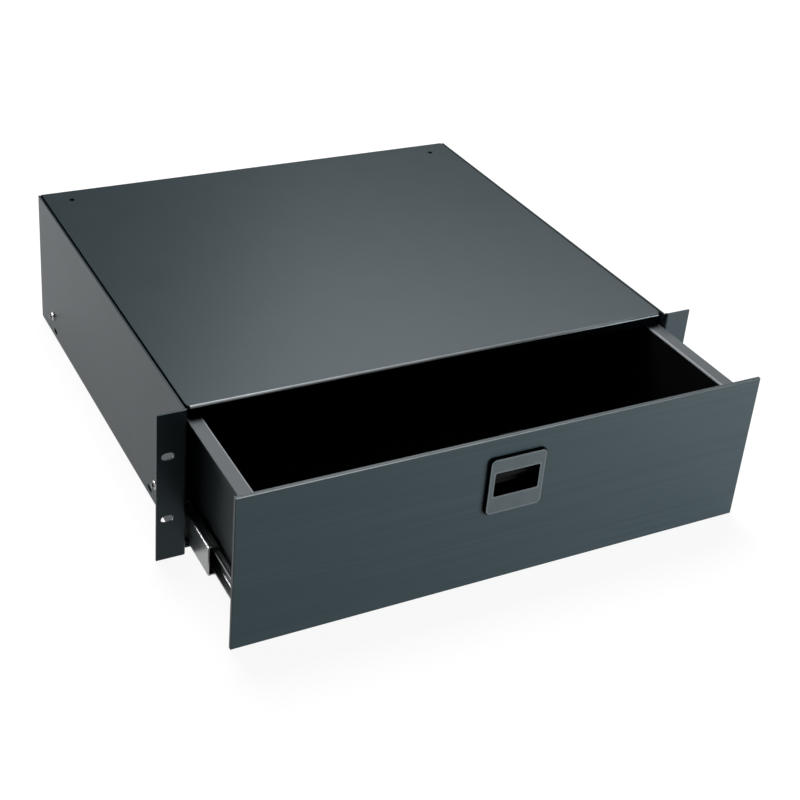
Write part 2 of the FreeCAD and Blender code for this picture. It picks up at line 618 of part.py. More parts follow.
def release_lever():
    """The plastic lever in the inner member that frees the drawer from its slides."""
    outer = INNER_WEB - LEVER_SIDE_CLEARANCE
    inner = outer - LEVER_THICKNESS
    half = LEVER_WIDTH / 2
    arm = block((inner, outer), (LEVER_PIVOT, LEVER_PIVOT + LEVER_ARM), (-half, half))
    hub = cylinder(LEVER_HUB_RADIUS, Vec(inner, LEVER_PIVOT, 0), -LEFT, LEVER_THICKNESS)
    half_paddle = LEVER_PADDLE_WIDTH / 2
    front = LEVER_PIVOT - LEVER_PADDLE
    upper = [(LEVER_PIVOT, half), (front + LEVER_PADDLE_LENGTH, half_paddle), (front, half_paddle)]
    paddle = polygon("YZ", upper + [(y, -z) for y, z in reversed(upper)], inner, outer)
    catch_y = LEVER_PIVOT + LEVER_ARM
    catch_points = [(catch_y - 8, half - 0.5), (catch_y, half - 0.5), (catch_y, half + 2)]
    catch = polygon("YZ", catch_points, inner, outer)
    grips = [block((inner - 1, inner + 0.8), (y, y + 1.2), (-half_paddle - 1, half_paddle + 1))
             for y in (front + 2, front + 4.4, front + 6.8)]
    pivot = Vec(inner - 1, LEVER_PIVOT, 0)
    bore = cylinder(PIVOT_RADIUS + SCREW_CLEARANCE, pivot, -LEFT, LEVER_THICKNESS + 2)
    return in_slide(without(joined([arm, hub, paddle, catch]), grips + [bore]), INNER_FRONT)


def lever_rivet():
    """The rivet that the lever turns on."""
    head_u = INNER_WEB - LEVER_THICKNESS - 2 * LEVER_SIDE_CLEARANCE
    head_place = Vec(head_u - PIVOT_HEAD_HEIGHT, LEVER_PIVOT, 0)
    head = faceted(PIVOT_HEAD_RADIUS, head_place, -LEFT, PIVOT_HEAD_HEIGHT)
    shank = faceted(PIVOT_RADIUS, Vec(head_u, LEVER_PIVOT, 0), -LEFT, SLIDE_THICKNESS - head_u)
    return in_slide(joined([head, shank]), INNER_FRONT)


# ---------------------------------------------------------------- drawer


def latch_cutout(start, end):
    """The opening for the latch, through the face plate and the tray's front wall."""
    half_width = LATCH_BODY_WIDTH / 2 + CUTOUT_CLEARANCE
    half_height = LATCH_BODY_HEIGHT / 2 + CUTOUT_CLEARANCE
    rise = (LATCH_Z - half_height, LATCH_Z + half_height)
    return rounded_block((-half_width, half_width), (start, end), rise, LATCH_BODY_CORNER)


def face_screw_places():
    """Where the screws go through the tray's front wall into the face plate."""
    height = TRAY_TOP - WALL_TOP_DROP - TRAY_FLOOR
    return [Vec(column * HALF_TRAY_INSIDE, FACE_BACK + TRAY_SHEET, TRAY_FLOOR + row * height)
            for column in FACE_SCREW_COLUMNS for row in FACE_SCREW_ROWS]


def face_screw_holes():
    """Cutters for the holes of the face screws."""
    radius = FACE_SCREW[2] + SCREW_CLEARANCE
    depth = FACE_SCREW_BITE + TRAY_SHEET + SCREW_CLEARANCE
    return [cylinder(radius, place + BACKWARD, -BACKWARD, depth + 1) for place in face_screw_places()]


def face_plate():
    """The thick front, with the latch's opening and blind screw holes in its back."""
    half_width = FACE_WIDTH / 2
    front = FACE_BACK - FACE_THICKNESS
    plate = block((-half_width, half_width), (front, FACE_BACK), (BASE, BASE + EAR_HEIGHT))
    rim = [e for e in plate.Edges if abs(e.CenterOfMass.y - front) < 0.01]
    plate = plate.makeChamfer(FACE_EDGE, rim)
    return without(plate, [latch_cutout(front - 1, FACE_BACK + 1)] + face_screw_holes())


def tray():
    """Floor and sides in one sheet, its top flanges folded out over the slides."""
    inside = TRAY_FLOOR + TRAY_SHEET
    half = [(-HALF_TRAY - TRAY_FLANGE, TRAY_TOP), (-HALF_TRAY_INSIDE, TRAY_TOP), (-HALF_TRAY_INSIDE, inside)]
    section = half + [(-u, v) for u, v in reversed(half)]
    sheet = folded_sheet("XZ", section, -1, FACE_BACK, TRAY_BACK, TRAY_SHEET)
    hole = TRAY_SCREW[2] + SCREW_CLEARANCE
    cutters = []
    for y in tray_screw_offsets():
        left = cylinder(hole, Vec(-HALF_TRAY - 1, INNER_FRONT + y, SLIDE_Z), -LEFT, TRAY_SHEET + 2)
        cutters += [left, mirrored(left)]
    return without(sheet, cutters)


def end_wall(outer_y, inward):
    """A wall across the tray's end, with flanges welded to its floor and sides."""
    inside = TRAY_FLOOR + TRAY_SHEET
    high = TRAY_TOP - WALL_TOP_DROP
    flange_y = outer_y + inward * WALL_FLANGE
    bend = BEND_INNER + TRAY_SHEET
    around = [(-HALF_TRAY_INSIDE, flange_y), (-HALF_TRAY_INSIDE, outer_y), (HALF_TRAY_INSIDE, outer_y),
              (HALF_TRAY_INSIDE, flange_y)]
    sides = folded_sheet("XY", around, inward, inside + bend + REAR_RELIEF, high, TRAY_SHEET)
    upright = [(flange_y, inside), (outer_y, inside), (outer_y, high)]
    half_width = HALF_TRAY_INSIDE - bend - REAR_RELIEF
    return joined([sides, folded_sheet("YZ", upright, -inward, -half_width, half_width, TRAY_SHEET)])


def tray_front_wall():
    """The wall that carries the face plate and the latch."""
    cutters = [latch_cutout(FACE_BACK - 1, FACE_BACK + TRAY_SHEET + 1)] + face_screw_holes()
    return without(end_wall(FACE_BACK, 1), cutters)


def face_screws():
    """The screws from inside the tray into the face plate."""
    return [screw(FACE_SCREW, place, BACKWARD, TRAY_SHEET + FACE_SCREW_BITE) for place in face_screw_places()]


# ---------------------------------------------------------------- latch


def barbs(direction):
    """Two wedges on the top (1) or bottom (-1) of the latch's body, behind the tray's wall."""
    grip = FACE_BACK + TRAY_SHEET + SCREW_CLEARANCE
    surface = LATCH_Z + direction * LATCH_BODY_HEIGHT / 2
    points = [(grip, surface), (grip, surface + direction * BARB_DEPTH), (grip + BARB_LENGTH, surface)]
    return [polygon("YZ", points, x - BARB_WIDTH / 2, x + BARB_WIDTH / 2)
            for x in (-LATCH_BODY_WIDTH / 4 - 2, LATCH_BODY_WIDTH / 4 + 2)]


def cover_screw_places():
    """Where the latch's cover is screwed to its body: two opposite corners."""
    x = LATCH_BODY_WIDTH / 2 - LATCH_WALL / 2
    z = LATCH_BODY_HEIGHT / 2 - 5
    return [Vec(side * x, LATCH_BACK, LATCH_Z + side * z) for side in (-1, 1)]


def latch_housing():
    """The moulded body: bezel, finger window, bolt channel, coring and snap barbs."""
    face_front = FACE_BACK - FACE_THICKNESS
    bezel_front = face_front - BEZEL_PROUD
    half = BEZEL_WIDTH / 2
    bezel = rounded_block((-half, half), (bezel_front, face_front),
                          (LATCH_Z - BEZEL_HEIGHT / 2, LATCH_Z + BEZEL_HEIGHT / 2), BEZEL_CORNER)
    rim = [e for e in bezel.Edges if abs(e.CenterOfMass.y - bezel_front) < 0.01]
    bezel = bezel.makeChamfer(BEZEL_EDGE, rim)
    half_body = LATCH_BODY_WIDTH / 2
    low = LATCH_Z - LATCH_BODY_HEIGHT / 2
    high = LATCH_Z + LATCH_BODY_HEIGHT / 2
    body = rounded_block((-half_body, half_body), (face_front, COVER_FRONT), (low, high), LATCH_BODY_CORNER)
    body = joined([bezel, body] + barbs(1) + barbs(-1))
    half_window = WINDOW_WIDTH / 2
    window_z = (WINDOW_Z - WINDOW_HEIGHT / 2, WINDOW_Z + WINDOW_HEIGHT / 2)
    window_y = (bezel_front - 1, COVER_FRONT + 1)
    window = rounded_block((-half_window, half_window), window_y, window_z, WINDOW_CORNER)
    channel_front = BOLT_FRONT - BOLT_CLEARANCE
    channel_y = (channel_front, COVER_FRONT + 1)
    channel = block((-HALF_CHANNEL, HALF_CHANNEL), channel_y, (BOLT_FLOOR, BOLT_TOP + BOLT_CLEARANCE))
    half_nose = BOLT_NOSE_WIDTH / 2 + BOLT_CLEARANCE
    nose_slot = block((-half_nose, half_nose), channel_y, (BOLT_TOP, high + 1 + BARB_DEPTH))
    core_y = (face_front, channel_front + 1)
    cores = [block((-half_window, half_window), core_y, (window_z[1] + CORE_WALL, BOLT_TOP)),
             block((-half_window, half_window), core_y, (BOLT_FLOOR, window_z[0] - CORE_WALL))]
    pilot_radius = COVER_SCREW[2] + SCREW_CLEARANCE
    pilot_length = COVER_SCREW_LENGTH + SCREW_CLEARANCE
    pilots = [cylinder(pilot_radius, place, -BACKWARD, pilot_length) for place in cover_screw_places()]
    body = without(body, [window, channel, nose_slot] + cores + pilots)
    seat = cylinder(SPRING_SEAT_RADIUS, Vec(0, SPRING_Y, BOLT_FLOOR), Vec(0, 0, 1), SPRING_SEAT_HEIGHT)
    return joined([body, seat])


def latch_cover():
    """The plate that closes the bolt channel from behind."""
    half = LATCH_BODY_WIDTH / 2
    plate = block((-half, half), (COVER_FRONT, LATCH_BACK),
                  (LATCH_Z - LATCH_BODY_HEIGHT / 2, LATCH_Z + LATCH_BODY_HEIGHT / 2))
    hole = COVER_SCREW[2] + SCREW_CLEARANCE
    depth = COVER_THICKNESS + 2
    holes = [cylinder(hole, place + BACKWARD, -BACKWARD, depth) for place in cover_screw_places()]
    return without(plate, holes)


def latch_cover_screws():
    """The small screws of the cover."""
    return [screw(COVER_SCREW, place, BACKWARD, COVER_SCREW_LENGTH) for place in cover_screw_places()]


def latch_bolt():
    """The sliding bolt: a plate with a finger ledge in front and a bevelled nose on top."""
    half = HALF_CHANNEL - BOLT_CLEARANCE
    plate = block((-half, half), (BOLT_FRONT, BOLT_BACK), (BOLT_BOTTOM, BOLT_TOP))
    tip = LIP_BOTTOM + BOLT_ENGAGEMENT
    bevel_foot = tip - (BOLT_THICKNESS - BOLT_NOSE_TIP) * 1.5
    half_nose = BOLT_NOSE_WIDTH / 2
    nose_section = [(BOLT_FRONT, BOLT_TOP - 1), (BOLT_FRONT, tip), (BOLT_FRONT + BOLT_NOSE_TIP, tip),
                    (BOLT_BACK, bevel_foot), (BOLT_BACK, BOLT_TOP - 1)]
    nose = polygon("YZ", nose_section, -half_nose, half_nose)
    top = LATCH_Z + LEDGE_RISE + LEDGE_THICKNESS / 2
    under = top - LEDGE_THICKNESS
    ridge = top + LEDGE_RIDGE
    front = BOLT_FRONT - LEDGE_DEPTH
    ledge_section = [(BOLT_FRONT + 1, under - LEDGE_ROOT), (front, under), (front, ridge),
                     (front + 1.2, ridge), (front + 1.2 + LEDGE_RIDGE, top), (BOLT_FRONT + 1, top)]
    ledge = polygon("YZ", ledge_section, -LEDGE_WIDTH / 2, LEDGE_WIDTH / 2)
    pocket_top = BOLT_FLOOR + SPRING_LENGTH + 2 * SPRING_END_CLEARANCE
    pocket = block((-SPRING_POCKET_RADIUS, SPRING_POCKET_RADIUS),
                   (SPRING_Y - SPRING_POCKET_RADIUS + 0.4, BOLT_BACK + 1), (BOLT_BOTTOM - 1, pocket_top))
    return without(joined([plate, nose, ledge]), [pocket])


def latch_spring():
    """The coil spring under the bolt, wound from square wire."""
    coil_radius = SPRING_RADIUS - SPRING_WIRE / 2
    height = SPRING_LENGTH - SPRING_WIRE
    helix = Part.makeHelix(height / SPRING_COILS, height, coil_radius)
    half = SPRING_WIRE / 2
    square = [(-half, -half), (half, -half), (half, half), (-half, half), (-half, -half)]
    corners = [Vec(coil_radius + u, 0, v) for u, v in square]
    coil = Part.Wire(helix.Edges).makePipeShell([Part.makePolygon(corners)], True, True)
    coil.translate(Vec(0, SPRING_Y, BOLT_FLOOR + SPRING_END_CLEARANCE + half))
    return coil


# ---------------------------------------------------------------- assembly


def build_case():
    """The fixed pieces."""
    save_pair("side_panel", side_panel())
    save("top_panel", top_panel())
    save("bottom_panel", bottom_panel())
    save("rear_panel", rear_panel())
    save_pair("slide_outer", slide_outer())
    save_pair("slide_bumper", slide_bumper())
    save_pair("case_slide_screws", *case_slide_screws())


def build_slides():
    """The pieces that run between the case and the tray."""
    save_pair("slide_middle", slide_middle())
    outer = (OUTER_BALL_U, OUTER_BALL_V, 0.25)
    inner = (INNER_BALL_U, INNER_BALL_V, 0.75)
    outer_web = SLIDE_SHEET + CAGE_CLEARANCE
    save_pair("outer_ball_cage", ball_cage(outer_web, OUTER_BALL_U + CAGE_REACH, *outer))
    save_pair("outer_balls", *balls(*outer))
    save_pair("inner_ball_cage", ball_cage(INNER_CAGE_WEB, INNER_BALL_U + CAGE_REACH, *inner))
    save_pair("inner_balls", *balls(*inner))


def build_drawer():
    """The pieces that pull out."""
    save("tray", tray())
    save("tray_front_wall", tray_front_wall())
    save("tray_back_wall", end_wall(TRAY_BACK, -1))
    save("face_plate", face_plate())
    save("face_screws", *face_screws())
    save_pair("slide_inner", slide_inner())
    save_pair("tray_slide_screws", *tray_slide_screws())
    save_pair("release_lever", release_lever())
    save_pair("lever_rivet", lever_rivet())


def build_latch():
    """The latch in the face plate."""
    save("latch_housing", latch_housing())
    save("latch_cover", latch_cover())
    save("latch_cover_screws", *latch_cover_screws())
    save("latch_bolt", latch_bolt())
    save("latch_spring", latch_spring())


os.makedirs("parts", exist_ok=True)
build_case()
build_slides()
build_drawer()
build_latch()
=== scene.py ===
# %% [markdown]
# # A sliding drawer for an equipment rack
#
# The drawer is a folded steel case with two ears, two ball-bearing slides, a folded tray, an
# aluminium face plate and a slam latch. The engineering model already holds every piece at its
# real size and place, so this notebook gives each one its finish and refines the few whose small
# forms catch the light: the screws, the balls, the spring, the latch's bolt and the two levers.
# The other pieces keep the model's own meshes: a folded sheet has its shape there already, and
# only its finish is missing.

import json
import math

import bmesh
import bpy
from mathutils import Matrix, Vector


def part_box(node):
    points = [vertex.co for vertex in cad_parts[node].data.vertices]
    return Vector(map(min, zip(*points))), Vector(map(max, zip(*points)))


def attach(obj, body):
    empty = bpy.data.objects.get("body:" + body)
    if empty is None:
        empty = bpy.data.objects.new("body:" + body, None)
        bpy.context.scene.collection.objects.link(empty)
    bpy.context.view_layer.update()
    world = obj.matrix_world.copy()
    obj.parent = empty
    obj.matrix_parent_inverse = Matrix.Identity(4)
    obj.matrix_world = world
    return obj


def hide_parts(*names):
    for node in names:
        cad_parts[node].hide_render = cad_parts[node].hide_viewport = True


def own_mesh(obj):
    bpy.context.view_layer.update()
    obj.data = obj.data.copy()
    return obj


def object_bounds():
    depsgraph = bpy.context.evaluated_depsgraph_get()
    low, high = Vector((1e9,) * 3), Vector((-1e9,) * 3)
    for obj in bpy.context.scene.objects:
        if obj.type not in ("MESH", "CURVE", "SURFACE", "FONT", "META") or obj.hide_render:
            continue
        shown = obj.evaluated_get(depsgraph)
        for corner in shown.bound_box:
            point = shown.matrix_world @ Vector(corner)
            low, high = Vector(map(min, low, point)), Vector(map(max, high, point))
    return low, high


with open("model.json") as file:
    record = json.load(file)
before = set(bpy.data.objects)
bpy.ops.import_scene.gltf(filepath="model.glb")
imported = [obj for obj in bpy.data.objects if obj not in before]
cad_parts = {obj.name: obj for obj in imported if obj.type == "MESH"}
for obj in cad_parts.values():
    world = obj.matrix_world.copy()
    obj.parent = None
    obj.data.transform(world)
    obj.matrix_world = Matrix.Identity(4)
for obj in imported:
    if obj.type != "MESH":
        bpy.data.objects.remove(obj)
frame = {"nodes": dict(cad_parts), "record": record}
cad_low, cad_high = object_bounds()
MM = 0.001
print("size of the drawer in metres:", [round(v, 4) for v in cad_high - cad_low])

# %% [markdown]
# ## Camera
#
# A long lens from above and to the left flattens the perspective, as in a catalogue. The camera's
# place is written as the direction and distance from a point inside the case, then a small slide
# sideways and up that puts the object in the frame. A shift does the rest: it keeps upright edges
# more nearly parallel than tilting the camera would.

# %% Camera
AIM_POINT = Vector((0, 103.8, -6.3)) * MM
AZIMUTH = math.radians(-28.3)
ELEVATION = math.radians(28.05)
ROLL = math.radians(4.41)
DISTANCE = 1294.7 * MM
SLIDE_RIGHT = -16.9 * MM
SLIDE_UP = 71.0 * MM
LENS_MM = 66.78
SENSOR_MM = 36
SHIFT_X, SHIFT_Y = 0.05, -0.1375
NEAREST = 50 * MM


def make_camera():
    """The catalogue camera, turned by its azimuth, elevation and roll."""
    back = Vector((math.sin(AZIMUTH) * math.cos(ELEVATION),
                   -math.cos(AZIMUTH) * math.cos(ELEVATION), math.sin(ELEVATION)))
    level_right = (-back).cross(Vector((0, 0, 1))).normalized()
    level_up = level_right.cross(-back)
    right = level_right * math.cos(ROLL) + level_up * math.sin(ROLL)
    up = level_up * math.cos(ROLL) - level_right * math.sin(ROLL)
    camera = bpy.data.objects.new("catalogue_camera", bpy.data.cameras.new("catalogue_camera"))
    bpy.context.collection.objects.link(camera)
    camera.data.lens = LENS_MM
    camera.data.sensor_width = SENSOR_MM
    camera.data.shift_x = SHIFT_X
    camera.data.shift_y = SHIFT_Y
    camera.data.clip_start = NEAREST
    place = AIM_POINT + back * DISTANCE + right * SLIDE_RIGHT + up * SLIDE_UP
    camera.matrix_world = Matrix.Translation(place) @ Matrix((right, up, back)).transposed().to_4x4()
    return camera


scene = bpy.context.scene
scene.camera = make_camera()
scene.view_settings.view_transform = "Standard"
print("camera at", [round(v, 3) for v in scene.camera.matrix_world.translation])

# %% [markdown]
# ## Node helpers
#
# Materials and node groups are trees of small steps. One helper adds a node with its settings and
# input values, another joins sockets, and a third opens a group with named sockets, so that each
# recipe below reads as a short list. Two more write a sum in one line and split a surface's place
# into its axes. Every socket is still called by its name, so nothing is hidden by them.

# %% Node helpers


def add_node(tree, kind, values=None, **settings):
    """A node of the tree, with its settings and its inputs' values."""
    node = tree.nodes.new(kind)
    for name, value in settings.items():
        setattr(node, name, value)
    for name, value in (values or {}).items():
        node.inputs[name].default_value = value
    return node


def link(tree, *pairs):
    """Join output sockets to input sockets."""
    for output, target in pairs:
        tree.links.new(output, target)


def new_group(name, kind, inputs, outputs):
    """A node group with named sockets; returns the group with its input and output nodes."""
    group = bpy.data.node_groups.new(name, kind)
    for label, socket, default in inputs:
        made = group.interface.new_socket(label, in_out="INPUT", socket_type=socket)
        if default is not None:
            made.default_value = default
    for label, socket in outputs:
        group.interface.new_socket(label, in_out="OUTPUT", socket_type=socket)
    return group, add_node(group, "NodeGroupInput"), add_node(group, "NodeGroupOutput")


def math_node(tree, operation, first, second=None):
    """One sum; each input is a socket to join or a number."""
    node = add_node(tree, "ShaderNodeMath", operation=operation)
    for index, given in enumerate((first, second)):
        if isinstance(given, (int, float)):
            node.inputs[index].default_value = given
        elif given is not None:
            tree.links.new(given, node.inputs[index])
    return node.outputs[0]


def object_axes(tree):
    """The X, Y and Z sockets of the Object coordinates, in metres."""
    place = add_node(tree, "ShaderNodeTexCoord")
    split = add_node(tree, "ShaderNodeSeparateXYZ")
    tree.links.new(place.outputs["Object"], split.inputs[0])
    return split.outputs


print("node helpers are ready")

# %% [markdown]
# ## Fine grain
#
# Powder coat, moulded plastic and rubber all have a fine grain; they differ in its size and depth.
# It could be painted as a picture, but noise on the object's own coordinates has no seams and its
# cells have a real size. The effect is a group with that size in metres, so materials share it. It
# puts out a height for the bump and the gloss, and a broad drift for the tone.

# %% Fine grain


def make_grain_group():
    """Noise in cells of a given size, and a broad drift of tone."""
    group, given, result = new_group(
        "Fine grain", "ShaderNodeTree", [("Cell Size", "NodeSocketFloat", 0.001)],
        [("Height", "NodeSocketFloat"), ("Tone", "NodeSocketFloat")])
    place = add_node(group, "ShaderNodeTexCoord")
    scale = math_node(group, "DIVIDE", 1.0, given.outputs["Cell Size"])
    peel = add_node(group, "ShaderNodeTexNoise", {"Detail": 2.0, "Roughness": 0.45})
    broad = add_node(group, "ShaderNodeTexNoise", {"Detail": 3.0, "Roughness": 0.6})
    link(group, (scale, peel.inputs["Scale"]), (math_node(group, "MULTIPLY", scale, 0.03), broad.inputs["Scale"]),
         (place.outputs["Object"], peel.inputs["Vector"]), (place.outputs["Object"], broad.inputs["Vector"]),
         (peel.outputs["Fac"], result.inputs["Height"]), (broad.outputs["Fac"], result.inputs["Tone"]))
    return group


GRAIN = make_grain_group()
print("effect:", GRAIN.name)

# %% [markdown]
# ## Hairline brushing
#
# The face plate is drawn under an abrasive belt before it is anodised, which leaves hairlines
# along its length. A picture of brushed metal would repeat on a plate this long. The same noise as
# above does not, stretched along X: the lines have to be some two hundred times as long as they
# are wide, or the metal looks like wood.

# %% Hairline brushing


def make_brush_group():
    """Hairlines along X, and wider streaks four times as broad."""
    group, given, result = new_group(
        "Hairline brushing", "ShaderNodeTree",
        [("Line Pitch", "NodeSocketFloat", 0.0005), ("Line Length", "NodeSocketFloat", 0.2)],
        [("Height", "NodeSocketFloat"), ("Tone", "NodeSocketFloat")])
    place = add_node(group, "ShaderNodeTexCoord")
    along = math_node(group, "DIVIDE", 1.0, given.outputs["Line Length"])
    across = math_node(group, "DIVIDE", 1.0, given.outputs["Line Pitch"])
    stretch = add_node(group, "ShaderNodeCombineXYZ")
    scaled = add_node(group, "ShaderNodeVectorMath", operation="MULTIPLY")
    lines = add_node(group, "ShaderNodeTexNoise", {"Scale": 1.0, "Detail": 2.0, "Roughness": 0.6})
    wide = add_node(group, "ShaderNodeVectorMath", {1: (0.6, 0.25, 0.25)}, operation="MULTIPLY")
    streaks = add_node(group, "ShaderNodeTexNoise", {"Scale": 1.0, "Detail": 2.0, "Roughness": 0.5})
    link(group, (along, stretch.inputs["X"]), (across, stretch.inputs["Y"]), (across, stretch.inputs["Z"]),
         (place.outputs["Object"], scaled.inputs[0]), (stretch.outputs[0], scaled.inputs[1]),
         (scaled.outputs[0], lines.inputs["Vector"]), (scaled.outputs[0], wide.inputs[0]),
         (wide.outputs[0], streaks.inputs["Vector"]), (lines.outputs["Fac"], result.inputs["Height"]),
         (streaks.outputs["Fac"], result.inputs["Tone"]))
    return group


BRUSHING = make_brush_group()
print("effect:", BRUSHING.name)

# %% [markdown]
# ## Handling marks
#
# Hands leave soft patches on any coat, a hair glossier than the rest. They are a mask that moves
# only the gloss: as a change of colour they would read as dirt, and this drawer is new.

# %% Handling marks


def make_marks_group():
    """Soft patches, 1 where hands have polished the coat."""
    group, given, result = new_group(
        "Handling marks", "ShaderNodeTree", [("Patch Size", "NodeSocketFloat", 0.08)],
        [("Mask", "NodeSocketFloat")])
    place = add_node(group, "ShaderNodeTexCoord")
    patches = add_node(group, "ShaderNodeTexNoise", {"Detail": 5.0, "Roughness": 0.65, "Distortion": 0.4})
    soft = add_node(group, "ShaderNodeMapRange", {"From Min": 0.42, "From Max": 0.72}, interpolation_type="SMOOTHSTEP")
    link(group, (math_node(group, "DIVIDE", 1.0, given.outputs["Patch Size"]), patches.inputs["Scale"]),
         (place.outputs["Object"], patches.inputs["Vector"]), (patches.outputs["Fac"], soft.inputs["Value"]),
         (soft.outputs["Result"], result.inputs["Mask"]))
    return group


MARKS = make_marks_group()
print("effect:", MARKS.name)

# %% [markdown]
# ## Painted fold highlight
#
# A sharp fold of the powder coat and a broken edge of the anodising catch the light, so a paler colour is painted
# there as a highlight, broken up by noise. Such a place faces two ways at once, so the mask is the smaller of how far
# the surface faces forward and how far it faces up. Edge highlights are often taken from the mesh's curvature, but
# here only the folds across the drawer get one, and the normal picks just those.

# %% Painted fold highlight


def make_fold_highlight_group():
    """Painted highlight mask: 1 on a fold or a broken edge that runs across the drawer, where the surface faces
    forward and up.
    """
    group, given, result = new_group(
        "Painted fold highlight", "ShaderNodeTree", [("Spread", "NodeSocketFloat", 0.5), ("Breaks", "NodeSocketFloat", 0.02)],
        [("Mask", "NodeSocketFloat")])
    place = add_node(group, "ShaderNodeTexCoord")
    split = add_node(group, "ShaderNodeSeparateXYZ")
    link(group, (place.outputs["Normal"], split.inputs[0]))
    forward = math_node(group, "MULTIPLY", split.outputs["Y"], -1.0)
    both = math_node(group, "MINIMUM", forward, split.outputs["Z"])
    highlight_breaks = add_node(group, "ShaderNodeTexNoise", {"Detail": 3.0})
    uneven = add_node(group, "ShaderNodeMapRange", {"From Min": 0.3, "From Max": 0.6, "To Min": 0.7})
    strength = add_node(group, "ShaderNodeMapRange", {"From Min": 0.1}, interpolation_type="SMOOTHSTEP")
    link(group, (place.outputs["Object"], highlight_breaks.inputs["Vector"]),
         (math_node(group, "DIVIDE", 1.0, given.outputs["Breaks"]), highlight_breaks.inputs["Scale"]),
         (highlight_breaks.outputs["Fac"], uneven.inputs["Value"]), (both, strength.inputs["Value"]),
         (given.outputs["Spread"], strength.inputs["From Max"]))
    link(group, (math_node(group, "MULTIPLY", strength.outputs["Result"], uneven.outputs["Result"]),
                 result.inputs["Mask"]))
    return group


FOLD_HIGHLIGHT = make_fold_highlight_group()
print("effect:", FOLD_HIGHLIGHT.name)

# %% [markdown]
# ## Finishes
#
# Every finish starts the same way: a shader whose colour drifts a little between two tones, whose
# gloss has its own range, and whose surface has a bump of a stated depth. What changes is which
# effect drives them. The recipe function takes those values, so each material is one call; written
# out one by one, every finish would repeat the same nodes and links.

# %% Finish recipe
SMEAR = -0.015


def make_finish(name, dark, light, roughness, depth, metallic=0.0, specular=0.5,
                tint=(1, 1, 1), grain=0.001, brushed=None, patch=0.08):
    """A finish between two tones and two roughnesses, with grain or hairlines in relief."""
    material = bpy.data.materials.new(name)
    material.use_nodes = True
    tree = material.node_tree
    shader = tree.nodes["Principled BSDF"]
    shader.inputs["Metallic"].default_value = metallic
    shader.inputs["Specular IOR Level"].default_value = specular
    shader.inputs["Specular Tint"].default_value = (*tint, 1)
    effect = add_node(tree, "ShaderNodeGroup", node_tree=BRUSHING if brushed else GRAIN)
    if brushed:
        effect.inputs["Line Pitch"].default_value, effect.inputs["Line Length"].default_value = brushed
    else:
        effect.inputs["Cell Size"].default_value = grain
    marks = add_node(tree, "ShaderNodeGroup", {"Patch Size": patch}, node_tree=MARKS)
    tone = add_node(tree, "ShaderNodeMix", {"A": (*dark, 1), "B": (*light, 1)}, data_type="RGBA")
    spread = add_node(tree, "ShaderNodeMapRange", {"From Min": 0.3, "From Max": 0.7})
    gloss = add_node(tree, "ShaderNodeMapRange", {"To Min": roughness[0], "To Max": roughness[1]})
    smear = add_node(tree, "ShaderNodeMath", {1: SMEAR}, operation="MULTIPLY_ADD")
    bump = add_node(tree, "ShaderNodeBump", {"Strength": 1.0, "Distance": depth})
    link(tree, (effect.outputs["Tone"], spread.inputs["Value"]), (spread.outputs["Result"], tone.inputs["Factor"]),
         (tone.outputs["Result"], shader.inputs["Base Color"]), (effect.outputs["Height"], gloss.inputs["Value"]),
         (marks.outputs["Mask"], smear.inputs[0]), (gloss.outputs["Result"], smear.inputs[2]),
         (smear.outputs[0], shader.inputs["Roughness"]), (effect.outputs["Height"], bump.inputs["Height"]),
         (bump.outputs["Normal"], shader.inputs["Normal"]))
    return material


print("finish recipe is ready")

# %% [markdown]
# ## Coats over a finish
#
# Some pieces get more than one colour: painted shade inside, a painted highlight on a fold, painted shade on an edge.
# Each is laid over the finish by a mask. Splitting the mesh would work too, but the piece is one sheet, and a mask
# leaves it whole. Painted shade needs care: a dark coat still has a white sheen at a flat angle, so the mask turns it
# into dark metal as well, which reflects only its own near black.

# %% Coats over a finish
# Near black and its roughness, painted where there is only shade.
PAINTED_SHADE_BLACK = (0.001, 0.001, 0.0015)
PAINTED_SHADE_ROUGHNESS = 0.9


def lay_over(material, mask, colour, roughness=None):
    """Cover a finish with another colour, and another gloss if it is given, where the mask is 1."""
    tree = material.node_tree
    shader = tree.nodes["Principled BSDF"]
    under = shader.inputs["Base Color"].links[0].from_socket
    mix = add_node(tree, "ShaderNodeMix", {"B": (*colour, 1)}, data_type="RGBA")
    link(tree, (mask, mix.inputs["Factor"]), (under, mix.inputs["A"]),
         (mix.outputs["Result"], shader.inputs["Base Color"]))
    if roughness is not None:
        rough = shader.inputs["Roughness"].links[0].from_socket
        gloss = add_node(tree, "ShaderNodeMix", {"B": roughness})
        link(tree, (mask, gloss.inputs["Factor"]), (rough, gloss.inputs["A"]),
             (gloss.outputs["Result"], shader.inputs["Roughness"]))
    return material


def paint_shade_black(material, mask):
    """Painted shade, near black, where the mask is 1: no colour, and with Metallic up no white sheen over it either.
    """
    lay_over(material, mask, PAINTED_SHADE_BLACK, PAINTED_SHADE_ROUGHNESS)
    link(material.node_tree, (mask, material.node_tree.nodes["Principled BSDF"].inputs["Metallic"]))
    return material


def paint_fold_highlight(material, colour, spread, breaks, fade=None):
    """Paint a highlight along the cross folds; a fade is (left, right, the share kept at the right), so the painted
    highlight dims to the right.
    """
    tree = material.node_tree
    folds = add_node(tree, "ShaderNodeGroup", {"Spread": spread, "Breaks": breaks}, node_tree=FOLD_HIGHLIGHT)
    mask = folds.outputs["Mask"]
    if fade:
        left, right, kept = fade
        ramp = add_node(tree, "ShaderNodeMapRange",
                        {"From Min": left, "From Max": right, "To Min": 1.0, "To Max": kept})
        link(tree, (object_axes(tree)["X"], ramp.inputs["Value"]))
        mask = math_node(tree, "MULTIPLY", mask, ramp.outputs["Result"])
    lay_over(material, mask, colour)


